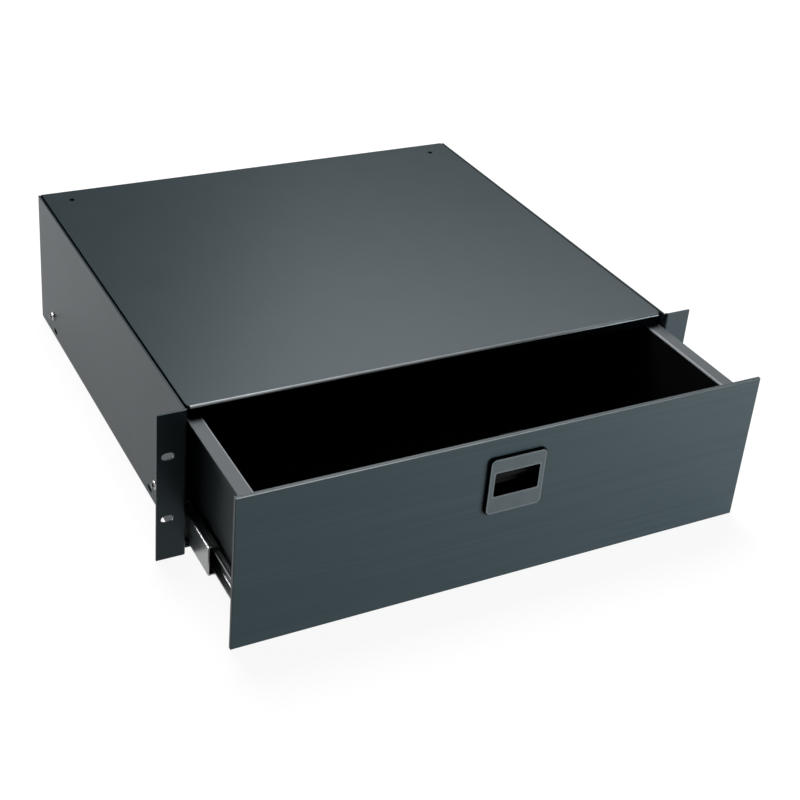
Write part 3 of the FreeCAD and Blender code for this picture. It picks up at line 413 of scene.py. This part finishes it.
# The raw black is painted shade, and the worn folds are a painted highlight.
print("coats: another colour, raw black and worn folds")

# %% [markdown]
# ## The drawer's finishes
#
# The case is powder coated: dark slate, satin, with the shallow orange peel of baked powder. The
# face plate is brushed along its length and anodised black, so its tone follows the hairlines. The
# slides are zinc plated, the screws and balls bright, and the latch's inner pieces are moulded in
# black plastic with a fine texture. Colours are what the bare pigment would be; the studio's
# sheen, faintly blue on the case, lifts them to the slate that the eye sees.

# %% The finishes of the drawer
SLATE_DARK = (0.0210, 0.0315, 0.0370)
SLATE_LIGHT = (0.0240, 0.0352, 0.0408)
SHEEN = (0.72, 0.91, 1.0)
SATIN = (0.30, 0.42)
PEEL = 0.9 * MM
PEEL_DEPTH = 0.010 * MM
# Paler colours painted on the folds and broken edges as highlights.
STEEL_FOLD_HIGHLIGHT = (0.32, 0.35, 0.37)
ALUMINIUM_EDGE_HIGHLIGHT = (0.50, 0.53, 0.55)

FINISHES = {
    "black_steel": make_finish("Powder coat, satin slate", SLATE_DARK, SLATE_LIGHT, SATIN, PEEL_DEPTH,
                               tint=SHEEN, grain=PEEL),
    "black_aluminium": make_finish("Brushed black anodising", (0.013, 0.034, 0.044), (0.019, 0.044, 0.055),
                                   (0.32, 0.46), 0.008 * MM, brushed=(0.5 * MM, 110 * MM)),
    "zinc_steel": make_finish("Zinc plate", (0.50, 0.52, 0.53), (0.60, 0.61, 0.60), (0.24, 0.42), 0.004 * MM,
                              metallic=1.0, grain=2.0 * MM),
    "bright_steel": make_finish("Bright plated screw", (0.55, 0.56, 0.57), (0.66, 0.66, 0.65), (0.16, 0.32),
                                0.003 * MM, metallic=1.0, grain=0.4 * MM),
    "ball_steel": make_finish("Polished ball", (0.70, 0.71, 0.72), (0.76, 0.76, 0.76), (0.05, 0.12), 0.0005 * MM,
                              metallic=1.0, grain=0.5 * MM),
    "spring_steel": make_finish("Drawn spring wire", (0.38, 0.38, 0.38), (0.46, 0.46, 0.45), (0.25, 0.4),
                                0.001 * MM, metallic=1.0, grain=0.3 * MM),
    "black_plastic": make_finish("Moulded black plastic", (0.0025, 0.0028, 0.003), (0.004, 0.0043, 0.0046),
                                 (0.55, 0.7), 0.012 * MM, specular=0.08, grain=0.35 * MM),
    "black_rubber": make_finish("Rubber", (0.010, 0.010, 0.010), (0.016, 0.016, 0.016), (0.6, 0.8), 0.03 * MM,
                                specular=0.3, grain=0.6 * MM),
}
# A painted highlight on the folds of the case, and on the face plate's broken edge, where it dims to the right.
paint_fold_highlight(FINISHES["black_steel"], STEEL_FOLD_HIGHLIGHT, spread=0.35, breaks=30 * MM)
paint_fold_highlight(FINISHES["black_aluminium"], ALUMINIUM_EDGE_HIGHLIGHT, spread=0.5, breaks=40 * MM,
           fade=(-200 * MM, 220 * MM, 0.25))
print(len(FINISHES), "finishes")

# %% [markdown]
# ## Painting the pieces
#
# Each piece of the engineering model names the material it is made of, so the finish follows from
# that name, and only pieces with more than one coat get a finish of their own further down.

# %% Painting
slot_of = {s["node"]: s["material_slot"] for s in frame["record"]["subparts"]}


def paint(node_name, material):
    """Put a finish on a node of the engineering model."""
    mesh = frame["nodes"][node_name].data
    for index in range(len(mesh.materials)):
        mesh.materials[index] = material


for node_name in frame["nodes"]:
    paint(node_name, FINISHES[slot_of[node_name]])
print(len(frame["nodes"]), "pieces painted")

# %% [markdown]
# ## The case's top
#
# The top is folded down inside the walls, so a narrow groove runs back along each side, where the fold turns down.
# Light doesn't reach into it, so a strip of painted shade covers each groove, a little wider at the left. The front
# face of the lip that is folded down at the front is painted black as shade, like the drawer's inside, and its fold
# gets a painted highlight, brightest at the left end. Black strips laid in the grooves would have to be fitted again
# whenever the top changes. A mask follows it: the groove is known by its distance from the middle of the case, and the
# lip by its depth and height.

# %% Groove beside the top, and the lip
# Widths of the painted shade in the grooves and on the lip, and the colour of the lip fold's painted highlight.
GROOVE_SHADE_WIDTH = 1.3 * MM
GROOVE_SHADE_SHIFT = 0.4 * MM
LIP_SKIN = 1.6 * MM
FOLD_DEPTH = 2.0 * MM
LIP_FOLD_HIGHLIGHT = (0.68, 0.72, 0.74)


def make_top_finish():
    """Satin powder coat with painted shade in the two grooves and on the lip, and a painted highlight on the lip's
    fold.
    """
    low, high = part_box("top_panel")
    material = make_finish("Powder coat, top with painted groove shade", SLATE_DARK, SLATE_LIGHT, SATIN, PEEL_DEPTH,
                           tint=SHEEN, grain=PEEL)
    # Painted highlight on the lip's fold, dimming to the right.
    paint_fold_highlight(material, LIP_FOLD_HIGHLIGHT, spread=0.3, breaks=30 * MM, fade=(-170 * MM, 200 * MM, 0.12))
    tree = material.node_tree
    axes = object_axes(tree)
    # Painted shade: the two grooves, the left one wider, and the lip's front below its fold.
    across = math_node(tree, "ABSOLUTE", math_node(tree, "SUBTRACT", axes["X"], GROOVE_SHADE_SHIFT))
    groove_shade = math_node(tree, "GREATER_THAN", across, high.x - GROOVE_SHADE_WIDTH)
    front = math_node(tree, "LESS_THAN", axes["Y"], low.y + LIP_SKIN)
    below = math_node(tree, "LESS_THAN", axes["Z"], high.z - FOLD_DEPTH)
    return paint_shade_black(material, math_node(tree, "MAXIMUM", groove_shade, math_node(tree, "MULTIPLY", front, below)))


paint("top_panel", make_top_finish())
# Widths of the painted groove shade, left and right.
print("grooves", round((GROOVE_SHADE_WIDTH + GROOVE_SHADE_SHIFT) / MM, 1), "and", round((GROOVE_SHADE_WIDTH - GROOVE_SHADE_SHIFT) / MM, 1), "mm wide")

# %% [markdown]
# ## The tray's two coats
#
# The tray's flanges and outer walls have the case's satin coat, and its inside is painted near black as shade. The
# faces could be picked one by one for a second material, but a mask made from the height and the distance from the
# middle tells them apart at any size: inside lies below the flanges and between the walls. The flanges, which face up
# into the light, are painted paler as light, and palest, as a painted highlight, on the fold where they turn down into
# the tray.

# %% Painted shade inside and painted light on the flanges of the tray
FLANGE_DEPTH = 1.3 * MM
INNER_FOLD = 1.7 * MM
INSIDE_MARGIN = 0.5 * MM
# Painted light on the flanges, a painted highlight on their inner fold, and painted shade inside.
FLANGE_PAINTED_LIGHT = (0.105, 0.120, 0.130)
TRAY_FOLD_HIGHLIGHT = (0.36, 0.385, 0.41)
INSIDE_PAINTED_SHADE = (0.003, 0.0034, 0.0038)
INSIDE_SHADE_ROUGHNESS = 0.7


def make_tray_finish():
    """Satin outside; painted shade inside, painted light on the flanges and a painted highlight on their inner fold.
    """
    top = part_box("tray")[1].z
    inner_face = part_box("tray_front_wall")[1].x
    material = make_finish("Tray, satin outside, painted shade inside", SLATE_DARK, SLATE_LIGHT, (0.42, 0.55),
                           PEEL_DEPTH, specular=0.35, grain=PEEL)
    tree = material.node_tree
    axes = object_axes(tree)
    width = math_node(tree, "ABSOLUTE", axes["X"])
    # Painted light on the flanges, a painted highlight on their inner fold, then painted shade inside.
    raised = math_node(tree, "GREATER_THAN", axes["Z"], top - FLANGE_DEPTH)
    lay_over(material, raised, FLANGE_PAINTED_LIGHT)
    inner_fold = math_node(tree, "LESS_THAN", width, inner_face + INNER_FOLD)
    lay_over(material, math_node(tree, "MULTIPLY", raised, inner_fold), TRAY_FOLD_HIGHLIGHT)
    below = math_node(tree, "LESS_THAN", axes["Z"], top - FLANGE_DEPTH)
    within = math_node(tree, "LESS_THAN", width, inner_face + INSIDE_MARGIN)
    return lay_over(material, math_node(tree, "MULTIPLY", below, within), INSIDE_PAINTED_SHADE, INSIDE_SHADE_ROUGHNESS)


tray_finish = make_tray_finish()
for node_name in ("tray", "tray_front_wall", "tray_back_wall"):
    paint(node_name, tray_finish)
print("tray painted in two coats")

# %% [markdown]
# ## The latch's escutcheon
#
# The latch is one moulding. Its front, a plain square with round corners, is finished to match the face plate, with a
# painted highlight along its outline and round the finger window, where the moulding stands up in a fine rim. Its
# broken edge and everything behind, with the inside of the window, are painted black as shade, which draws a dark line
# round the square. Cutting the face off as a piece of its own would break the moulding in two, so masks part the
# coats: the depth, for the edge, and the distances from the middle of the square and of the window, for the rims.

# %% Escutcheon finish
FLAT_SKIN = 0.15 * MM
BEZEL_HALF = 25.5 * MM
FLAT_HALF_WIDTH, FLAT_HALF_HEIGHT = 24.0 * MM, 24.5 * MM
WINDOW_RISE = 1.7 * MM
WINDOW_HALF_WIDTH, WINDOW_HALF_HEIGHT = 19.5 * MM, 10.5 * MM
RIM = 1.3 * MM
# The rims get a painted highlight.
RIM_PAINTED_HIGHLIGHT = (0.135, 0.160, 0.172)


def make_escutcheon_finish():
    """Face-plate grey with a painted highlight on the rims of the flat front, and painted shade on its edge and behind
    it.
    """
    low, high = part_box("latch_housing")
    material = make_finish("Latch moulding, painted front", (0.078, 0.102, 0.113), (0.088, 0.114, 0.125),
                           (0.38, 0.52), 0.006 * MM, specular=0.3, grain=0.5 * MM)
    tree = material.node_tree
    axes = object_axes(tree)
    beside = math_node(tree, "ABSOLUTE", axes["X"])
    middle = high.z - BEZEL_HALF
    above = math_node(tree, "ABSOLUTE", math_node(tree, "SUBTRACT", axes["Z"], middle))
    outline = math_node(tree, "MAXIMUM", math_node(tree, "GREATER_THAN", beside, FLAT_HALF_WIDTH - RIM),
                        math_node(tree, "GREATER_THAN", above, FLAT_HALF_HEIGHT - RIM))
    from_window = math_node(tree, "ABSOLUTE", math_node(tree, "SUBTRACT", axes["Z"], middle + WINDOW_RISE))
    window = math_node(tree, "MULTIPLY", math_node(tree, "LESS_THAN", beside, WINDOW_HALF_WIDTH + RIM),
                       math_node(tree, "LESS_THAN", from_window, WINDOW_HALF_HEIGHT + RIM))
    lay_over(material, math_node(tree, "MAXIMUM", outline, window), RIM_PAINTED_HIGHLIGHT)
    # Painted shade on the edge, behind the flat front and inside the window.
    return paint_shade_black(material, math_node(tree, "GREATER_THAN", axes["Y"], low.y + FLAT_SKIN))


paint("latch_housing", make_escutcheon_finish())
print("escutcheon painted, rims", RIM / MM, "mm wide")

# %% [markdown]
# ## Finding the small solids
#
# A node of the engineering model can hold several equal solids, such as four screws. Its mesh is
# loose triangles, so a copy has its doubled corners merged, and then the corners that hang
# together are one solid. The boxes of the solids say where each screw or ball goes and how big
# it is, so nothing is typed in twice.

# %% Boxes of a node's solids
SAME_PLACE = 0.002 * MM


def merged_copy(node_name):
    """A copy of a node's mesh with its doubled corners merged."""
    work = bmesh.new()
    work.from_mesh(frame["nodes"][node_name].data)
    bmesh.ops.remove_doubles(work, verts=work.verts, dist=SAME_PLACE)
    return work


def solid_boxes(node_name):
    """The low and high corner of every solid in a node."""
    work = merged_copy(node_name)
    seen = set()
    boxes = []
    for start in work.verts:
        if start in seen:
            continue
        seen.add(start)
        reached = [start]
        corners = []
        while reached:
            corner = reached.pop()
            corners.append(corner.co.copy())
            for edge in corner.link_edges:
                other = edge.other_vert(corner)
                if other not in seen:
                    seen.add(other)
                    reached.append(other)
        boxes.append((Vector(map(min, zip(*corners))), Vector(map(max, zip(*corners)))))
    work.free()
    return boxes


print("face screws at", [[round(v, 3) for v in (low + high) / 2] for low, high in solid_boxes("face_screws")])

# %% [markdown]
# ## Building with Geometry Nodes
#
# Screws, balls and the coil are made by rules, so each has a tree with its sizes as inputs: change
# a number and the shape follows. The tree builds one piece at the origin and puts a copy on every
# point of a small mesh of places. The result is turned into a plain mesh and the tree's host is
# removed, because what leaves this file is plain meshes.

# %% Place copies, then make a plain mesh
TURNS = {"-X": (0, -math.pi / 2, 0), "+X": (0, math.pi / 2, 0), "+Y": (-math.pi / 2, 0, 0), "+Z": (0, 0, 0)}


def finish_tree(tree, given, result, geometry):
    """End a tree: a copy on every place, turned, made real and given its material."""
    copies = add_node(tree, "GeometryNodeInstanceOnPoints")
    turn = add_node(tree, "FunctionNodeEulerToRotation")
    real = add_node(tree, "GeometryNodeRealizeInstances")
    coat = add_node(tree, "GeometryNodeSetMaterial")
    link(tree, (given.outputs["Places"], copies.inputs["Points"]), (geometry, copies.inputs["Instance"]),
         (given.outputs["Turn"], turn.inputs[0]), (turn.outputs[0], copies.inputs["Rotation"]),
         (copies.outputs["Instances"], real.inputs[0]), (real.outputs[0], coat.inputs["Geometry"]),
         (given.outputs["Material"], coat.inputs["Material"]), (coat.outputs[0], result.inputs["Geometry"]))


def open_tree(name, sizes):
    """Open a tree with its places, turn, sizes and material."""
    inputs = [("Places", "NodeSocketGeometry", None), ("Turn", "NodeSocketVector", None)]
    inputs += [(label, "NodeSocketFloat", value) for label, value in sizes.items()]
    inputs.append(("Material", "NodeSocketMaterial", None))
    return new_group(name, "GeometryNodeTree", inputs, [("Geometry", "NodeSocketGeometry")])


def moved(tree, geometry, z):
    """Geometry raised by a length."""
    place = add_node(tree, "ShaderNodeCombineXYZ")
    raised = add_node(tree, "GeometryNodeTransform")
    link(tree, (z, place.inputs["Z"]), (place.outputs[0], raised.inputs["Translation"]),
         (geometry, raised.inputs["Geometry"]))
    return raised.outputs[0]


def grow(name, tree, places, values):
    """Run a tree on its places and keep the plain mesh."""
    mesh = bpy.data.meshes.new(name + "_places")
    mesh.from_pydata(places, [], [])
    host = bpy.data.objects.new(name + "_places", mesh)
    bpy.context.collection.objects.link(host)
    modifier = host.modifiers.new("Grow", "NODES")
    modifier.node_group = tree
    for socket in tree.interface.items_tree:
        if socket.in_out == "INPUT" and socket.name in values:
            modifier[socket.identifier] = values[socket.name]
    evaluated = host.evaluated_get(bpy.context.evaluated_depsgraph_get())
    piece = bpy.data.objects.new(name, bpy.data.meshes.new_from_object(evaluated))
    piece.data.name = name
    host.modifiers.remove(modifier)
    bpy.data.objects.remove(host)
    bpy.context.collection.objects.link(piece)
    return piece


print("copies can be turned to", ", ".join(TURNS))

# %% [markdown]
# ## Screws
#
# All the drawer's screws are pan heads with a cross recess. A pan head is a short cylinder whose
# top is rounded over. Turning a profile would give the head but not the cross, so it is cut from
# solids: a cylinder kept only where a large ball overlaps it, with two crossed blocks cut away,
# and a plain shank below. The thread is hidden in the sheet, so there is none.

# %% Screw tree
HEAD_SIDES = 40
SHANK_SIDES = 20
CROWN_RINGS = 56
CROWN = 2.0
CROSS_LENGTH = 1.2


def sized_rod(tree, radius, length, sides):
    """A cylinder about the origin."""
    rod = add_node(tree, "GeometryNodeMeshCylinder", {"Vertices": sides})
    link(tree, (radius, rod.inputs["Radius"]), (length, rod.inputs["Depth"]))
    return rod.outputs["Mesh"]


def recess_block(tree, given, wide, narrow):
    """One of the two blocks that cut the cross."""
    size = add_node(tree, "ShaderNodeCombineXYZ")
    block = add_node(tree, "GeometryNodeMeshCube")
    deep = math_node(tree, "MULTIPLY", given.outputs["Recess Depth"], 2.0)
    link(tree, (wide, size.inputs["X"]), (narrow, size.inputs["Y"]), (deep, size.inputs["Z"]),
         (size.outputs[0], block.inputs["Size"]))
    return moved(tree, block.outputs["Mesh"], given.outputs["Head Height"])


def make_screw_tree():
    """A pan head with a cross recess, its seat at the origin and its head up."""
    tree, given, result = open_tree("Pan head screw", {
        "Head Radius": 0.004, "Head Height": 0.002, "Shank Radius": 0.002, "Shank Length": 0.004,
        "Recess Width": 0.0009, "Recess Depth": 0.001})
    radius, height = given.outputs["Head Radius"], given.outputs["Head Height"]
    blank = moved(tree, sized_rod(tree, radius, height, HEAD_SIDES), math_node(tree, "MULTIPLY", height, 0.5))
    crown = math_node(tree, "MULTIPLY", radius, CROWN)
    ball = add_node(tree, "GeometryNodeMeshUVSphere", {"Segments": HEAD_SIDES, "Rings": CROWN_RINGS})
    link(tree, (crown, ball.inputs["Radius"]))
    cap = moved(tree, ball.outputs["Mesh"], math_node(tree, "SUBTRACT", height, crown))
    rounded = add_node(tree, "GeometryNodeMeshBoolean", operation="INTERSECT")
    cut = add_node(tree, "GeometryNodeMeshBoolean", operation="DIFFERENCE")
    long_way = math_node(tree, "MULTIPLY", radius, CROSS_LENGTH)
    narrow_way = given.outputs["Recess Width"]
    shank_length = given.outputs["Shank Length"]
    shank = moved(tree, sized_rod(tree, given.outputs["Shank Radius"], shank_length, SHANK_SIDES),
                  math_node(tree, "MULTIPLY", shank_length, -0.5))
    whole = add_node(tree, "GeometryNodeJoinGeometry")
    link(tree, (cap, rounded.inputs["Mesh 2"]), (blank, rounded.inputs["Mesh 2"]),
         (rounded.outputs["Mesh"], cut.inputs["Mesh 1"]),
         (recess_block(tree, given, long_way, narrow_way), cut.inputs["Mesh 2"]),
         (recess_block(tree, given, narrow_way, long_way), cut.inputs["Mesh 2"]),
         (shank, whole.inputs["Geometry"]), (cut.outputs["Mesh"], whole.inputs["Geometry"]))
    finish_tree(tree, given, result, whole.outputs[0])
    return tree


SCREW_TREE = make_screw_tree()
print("tree:", SCREW_TREE.name)

# %% [markdown]
# ## Screws in their places
#
# Each box found above is one screw. Its head's outer face and the height of the head give the
# seat, its width gives the head, and what is left of its length is the shank. The cross is a
# share of the head, as it is on real screws of one family.

# %% Screws in their places
CROSS_WIDTH = 0.225
CROSS_DEPTH = 0.54


def fit_screws(node_name, body, outward, head_height, shank_radius):
    """Replace a node's screws; the heads point outward from their seats."""
    axis = "XYZ".index(outward[1])
    sign = -1 if outward[0] == "-" else 1
    boxes = solid_boxes(node_name)
    seats = []
    for low, high in boxes:
        seat = (low + high) / 2
        seat[axis] = (high if sign > 0 else low)[axis] - sign * head_height
        seats.append(seat)
    low, high = boxes[0]
    radius = (high - low)[(axis + 1) % 3] / 2
    values = {"Turn": TURNS[outward], "Head Radius": radius, "Head Height": head_height,
              "Shank Radius": shank_radius, "Shank Length": (high - low)[axis] - head_height,
              "Recess Width": radius * CROSS_WIDTH, "Recess Depth": head_height * CROSS_DEPTH,
              "Material": FINISHES["bright_steel"]}
    piece = grow(node_name + "_crossed", SCREW_TREE, seats, values)
    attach(piece, body)
    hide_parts(node_name)
    print(node_name, len(seats), "screws,", len(piece.data.polygons), "faces")


for node_name, body, outward, head_height, shank_radius in (
        ("left_case_slide_screws", "case", "-X", 2.4, 2.0),
        ("right_case_slide_screws", "case", "+X", 2.4, 2.0),
        ("left_tray_slide_screws", "drawer", "+X", 1.8, 1.75),
        ("right_tray_slide_screws", "drawer", "-X", 1.8, 1.75),
        ("face_screws", "drawer", "+Y", 2.0, 2.0),
        ("latch_cover_screws", "drawer", "+Y", 1.0, 0.9)):
    fit_screws(node_name, body, outward, head_height * MM, shank_radius * MM)

# %% [markdown]
# ## Balls
#
# The balls of the slides are ground and polished, so they need a smooth round outline. A ball tree
# puts one smooth ball at the middle of each ball of the engineering model. Rings and segments are
# enough here: a ball is 3 mm across, and an even finer mesh would only slow the file down.

# %% Balls
BALL_SEGMENTS = 28
BALL_RINGS = 18


def make_ball_tree():
    """A smooth ball on every place."""
    tree, given, result = open_tree("Bearing ball", {"Radius": 0.0015})
    ball = add_node(tree, "GeometryNodeMeshUVSphere", {"Segments": BALL_SEGMENTS, "Rings": BALL_RINGS})
    smooth = add_node(tree, "GeometryNodeSetShadeSmooth")
    link(tree, (given.outputs["Radius"], ball.inputs["Radius"]), (ball.outputs["Mesh"], smooth.inputs[0]))
    finish_tree(tree, given, result, smooth.outputs[0])
    return tree


BALL_TREE = make_ball_tree()
for side in ("left", "right"):
    for row in ("outer", "inner"):
        node_name = f"{side}_{row}_balls"
        boxes = solid_boxes(node_name)
        radius = (boxes[0][1] - boxes[0][0]).z / 2
        balls = grow(node_name + "_polished", BALL_TREE, [(low + high) / 2 for low, high in boxes],
                     {"Turn": TURNS["+Z"], "Radius": radius, "Material": FINISHES["ball_steel"]})
        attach(balls, f"{side}_{row}_cage")
        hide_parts(node_name)
        print(node_name, len(boxes), "balls of", round(2 * radius / MM, 2), "mm")

# %% [markdown]
# ## The latch's spring
#
# A compression spring is round wire on a helix with its ends closed into flat rings. A Screw
# modifier can turn a circle into a coil, but it leaves the ends cut off. The tree sweeps the small
# circle along a spiral and along a ring at each end, so the coil's turns and height stay numbers.

# %% Spring tree
SPRING_COILS = 7
WIRE_RADIUS = 0.3 * MM
TURN_POINTS = 28
WIRE_SIDES = 10


def swept_wire(tree, given, path):
    """Round wire along a curve."""
    section = add_node(tree, "GeometryNodeCurvePrimitiveCircle", {"Resolution": WIRE_SIDES})
    sweep = add_node(tree, "GeometryNodeCurveToMesh", {"Fill Caps": True})
    link(tree, (given.outputs["Wire Radius"], section.inputs["Radius"]), (path, sweep.inputs["Curve"]),
         (section.outputs["Curve"], sweep.inputs["Profile Curve"]))
    return sweep.outputs["Mesh"]


def make_spring_tree():
    """A helix between two closed rings, standing on its place."""
    tree, given, result = open_tree("Coil spring", {
        "Coil Radius": 0.0017, "Wire Radius": 0.0003, "Height": 0.02, "Coils": 7.0})
    helix = add_node(tree, "GeometryNodeCurveSpiral", {"Resolution": TURN_POINTS})
    ring = add_node(tree, "GeometryNodeCurvePrimitiveCircle", {"Resolution": TURN_POINTS})
    whole = add_node(tree, "GeometryNodeJoinGeometry")
    smooth = add_node(tree, "GeometryNodeSetShadeSmooth")
    ring_wire = swept_wire(tree, given, ring.outputs["Curve"])
    radius, height = given.outputs["Coil Radius"], given.outputs["Height"]
    link(tree, (given.outputs["Coils"], helix.inputs["Rotations"]), (height, helix.inputs["Height"]),
         (radius, helix.inputs["Start Radius"]), (radius, helix.inputs["End Radius"]), (radius, ring.inputs["Radius"]),
         (moved(tree, ring_wire, height), whole.inputs[0]), (ring_wire, whole.inputs[0]),
         (swept_wire(tree, given, helix.outputs["Curve"]), whole.inputs[0]), (whole.outputs[0], smooth.inputs[0]))
    finish_tree(tree, given, result, smooth.outputs[0])
    return tree


SPRING_TREE = make_spring_tree()
print("tree:", SPRING_TREE.name)

# %% [markdown]
# ## The spring in its seat
#
# The spring stands on the housing and carries the bolt. Its box in the engineering model gives its height and its
# width over the wire. It rides on the drawer.

# %% Spring in its seat
low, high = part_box("latch_spring")
seat = Vector(((low.x + high.x) / 2, (low.y + high.y) / 2, low.z))
spring = grow("latch_spring_coiled", SPRING_TREE, [seat + Vector((0, 0, WIRE_RADIUS))],
              {"Turn": TURNS["+Z"], "Coil Radius": (high.x - low.x) / 2 - WIRE_RADIUS, "Wire Radius": WIRE_RADIUS,
               "Height": high.z - low.z - 2 * WIRE_RADIUS, "Coils": float(SPRING_COILS),
               "Material": FINISHES["spring_steel"]})
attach(spring, "drawer")
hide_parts("latch_spring")
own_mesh(spring)
print("spring of", SPRING_COILS, "coils,", len(spring.data.polygons), "faces")

# %% [markdown]
# ## Rounded edges
#
# Moulded pieces are never knife sharp, and the thin line of light along a rounded edge tells the
# eye where a piece ends. The latch's bolt, whose ledge shows in the finger window, and the two
# release levers get a copy with merged corners, flat faces joined into one, and a Bevel modifier
# on the sharp edges. Rounding them in the engineering model would cost facets in the simulation.

# %% Rounded copies
EDGE_RADIUS = 0.3 * MM
FLAT_ANGLE = math.radians(1)
SHARP_ANGLE = math.radians(40)
STEPS_ROUND_EDGE = 3


def round_edges(node_name, body):
    """Replace a node with a copy whose sharp edges are rounded."""
    work = merged_copy(node_name)
    bmesh.ops.dissolve_limit(work, angle_limit=FLAT_ANGLE, verts=work.verts, edges=work.edges)
    mesh = bpy.data.meshes.new(node_name + "_rounded")
    work.to_mesh(mesh)
    work.free()
    mesh.materials.append(FINISHES[slot_of[node_name]])
    piece = bpy.data.objects.new(node_name + "_rounded", mesh)
    bpy.context.collection.objects.link(piece)
    bevel = piece.modifiers.new("Rounded edges", "BEVEL")
    bevel.width = EDGE_RADIUS
    bevel.segments = STEPS_ROUND_EDGE
    bevel.limit_method = "ANGLE"
    bevel.angle_limit = SHARP_ANGLE
    bevel.use_clamp_overlap = True
    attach(piece, body)
    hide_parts(node_name)


for node_name, body in (("latch_bolt", "bolt"), ("left_release_lever", "left_lever"),
                        ("right_release_lever", "right_lever")):
    round_edges(node_name, body)
    print(node_name, "rounded by", EDGE_RADIUS / MM, "mm")

# %% [markdown]
# ## Floor
#
# A pale sweep under the feet. To the camera it glows almost white and a little whiter far away, so
# that it runs into the background without a line. Its own tone is a mid grey, so it throws little
# light up into the shaded side, and a plain white plane would have made that side milky.

# %% Floor
FLOOR_HALF = 6.0
FLOOR_DROP = 0.2 * MM
FLOOR_TONE = 0.18
GLOW_NEAR = 0.92
GLOW_RISES_FROM, GLOW_WHITE_FROM = 0.9, 2.6
GLOW_IN_GLOSS = 0.54


def make_floor():
    """A pale floor under the feet."""
    mesh = bpy.data.meshes.new("floor")
    far, z = FLOOR_HALF, cad_low.z - FLOOR_DROP
    mesh.from_pydata([(-far, -far, z), (far, -far, z), (far, far, z), (-far, far, z)], [], [(0, 1, 2, 3)])
    floor = bpy.data.objects.new("floor", mesh)
    bpy.context.collection.objects.link(floor)
    material = bpy.data.materials.new("Pale floor")
    material.use_nodes = True
    tree = material.node_tree
    shader = tree.nodes["Principled BSDF"]
    shader.inputs["Base Color"].default_value = (FLOOR_TONE, FLOOR_TONE, FLOOR_TONE, 1)
    shader.inputs["Roughness"].default_value = 0.9
    shader.inputs["Specular IOR Level"].default_value = 0.0
    rays = add_node(tree, "ShaderNodeLightPath")
    seen = math_node(tree, "MAXIMUM", rays.outputs["Is Camera Ray"], rays.outputs["Is Transmission Ray"])
    in_gloss = math_node(tree, "MULTIPLY", rays.outputs["Is Glossy Ray"], GLOW_IN_GLOSS)
    place = add_node(tree, "ShaderNodeTexCoord")
    away = add_node(tree, "ShaderNodeVectorMath", operation="LENGTH")
    white = add_node(tree, "ShaderNodeMapRange", {
        "From Min": GLOW_RISES_FROM, "From Max": GLOW_WHITE_FROM, "To Min": GLOW_NEAR})
    link(tree, (place.outputs["Object"], away.inputs[0]), (away.outputs["Value"], white.inputs["Value"]))
    glow = math_node(tree, "MAXIMUM", math_node(tree, "MULTIPLY", seen, white.outputs["Result"]), in_gloss)
    shader.inputs["Emission Color"].default_value = (1, 1, 1, 1)
    link(tree, (glow, shader.inputs["Emission Strength"]))
    mesh.materials.append(material)


make_floor()
print("floor", round((FLOOR_DROP - cad_low.z) / MM, 1), "mm below the origin")

# %% [markdown]
# ## World
#
# The camera sees plain white. In reflections the world is white only within some three degrees of
# the horizon and dim above, as in a studio with a dark ceiling, so the satin coat keeps its depth.
# As a light it is faint: the lamps do the work, and the side turned away from them stays dark. A
# world that is white all over would wash the whole case out.

# %% World
AMBIENT = 0.03
CEILING = 0.07
HORIZON = 0.06


def make_world():
    """White for the camera; in reflections white at the horizon and dim above; dim as a light."""
    world = bpy.data.worlds.new("Soft world")
    scene.world = world
    world.use_nodes = True
    tree = world.node_tree
    background = tree.nodes["Background"]
    rays = add_node(tree, "ShaderNodeLightPath")
    direction = add_node(tree, "ShaderNodeTexCoord")
    split = add_node(tree, "ShaderNodeSeparateXYZ")
    height = add_node(tree, "ShaderNodeMapRange", {"From Max": HORIZON, "To Min": 1.0, "To Max": CEILING},
                      interpolation_type="SMOOTHSTEP")
    link(tree, (direction.outputs["Generated"], split.inputs[0]), (split.outputs["Z"], height.inputs["Value"]))
    in_gloss = math_node(tree, "MULTIPLY", rays.outputs["Is Glossy Ray"], height.outputs["Result"])
    open_rays = math_node(tree, "MAXIMUM", rays.outputs["Is Camera Ray"], rays.outputs["Is Transmission Ray"])
    seen = math_node(tree, "MAXIMUM", open_rays, in_gloss)
    link(tree, (math_node(tree, "MAXIMUM", seen, AMBIENT), background.inputs["Strength"]))
    background.inputs["Color"].default_value = (1, 1, 1, 1)


make_world()
print("world: ambient", AMBIENT, "ceiling", CEILING)

# %% [markdown]
# ## Lamps
#
# Four soft panels, as on a product table. One overhead lights the top. A large one behind on the
# right is reflected in the top, where its glow runs from front to back. Two low strips light the
# face and the walls: they are no taller than the drawer, so they never graze the top, where a lamp
# at a flat angle would leave a white patch when the drawer is seen from the other side.

# %% Lamps


def soft_panel(name, place, aim, width, height, power):
    """A rectangular lamp that faces a point."""
    lamp = bpy.data.lights.new(name, "AREA")
    lamp.shape = "RECTANGLE"
    lamp.size = width
    lamp.size_y = height
    lamp.energy = power
    panel = bpy.data.objects.new(name, lamp)
    bpy.context.collection.objects.link(panel)
    panel.location = place
    panel.rotation_euler = (Vector(aim) - Vector(place)).to_track_quat("-Z", "Y").to_euler()
    print(name, power, "W")


soft_panel("overhead_panel", (0, 0.6, 1.5), aim=(0, 0.2, 0), width=0.8, height=0.8, power=20)
soft_panel("rear_right_panel", (0.83, 1.07, 1.31), aim=(0, 0.1, 0), width=1.2, height=1.0, power=10.4)
soft_panel("front_right_panel", (1.25, -1.25, 0), aim=(0, -0.1, 0), width=1.0, height=0.11, power=34)
soft_panel("left_panel", (-1.1, 1.35, 0), aim=(-0.2, 0.1, 0), width=1.0, height=0.11, power=12.5)
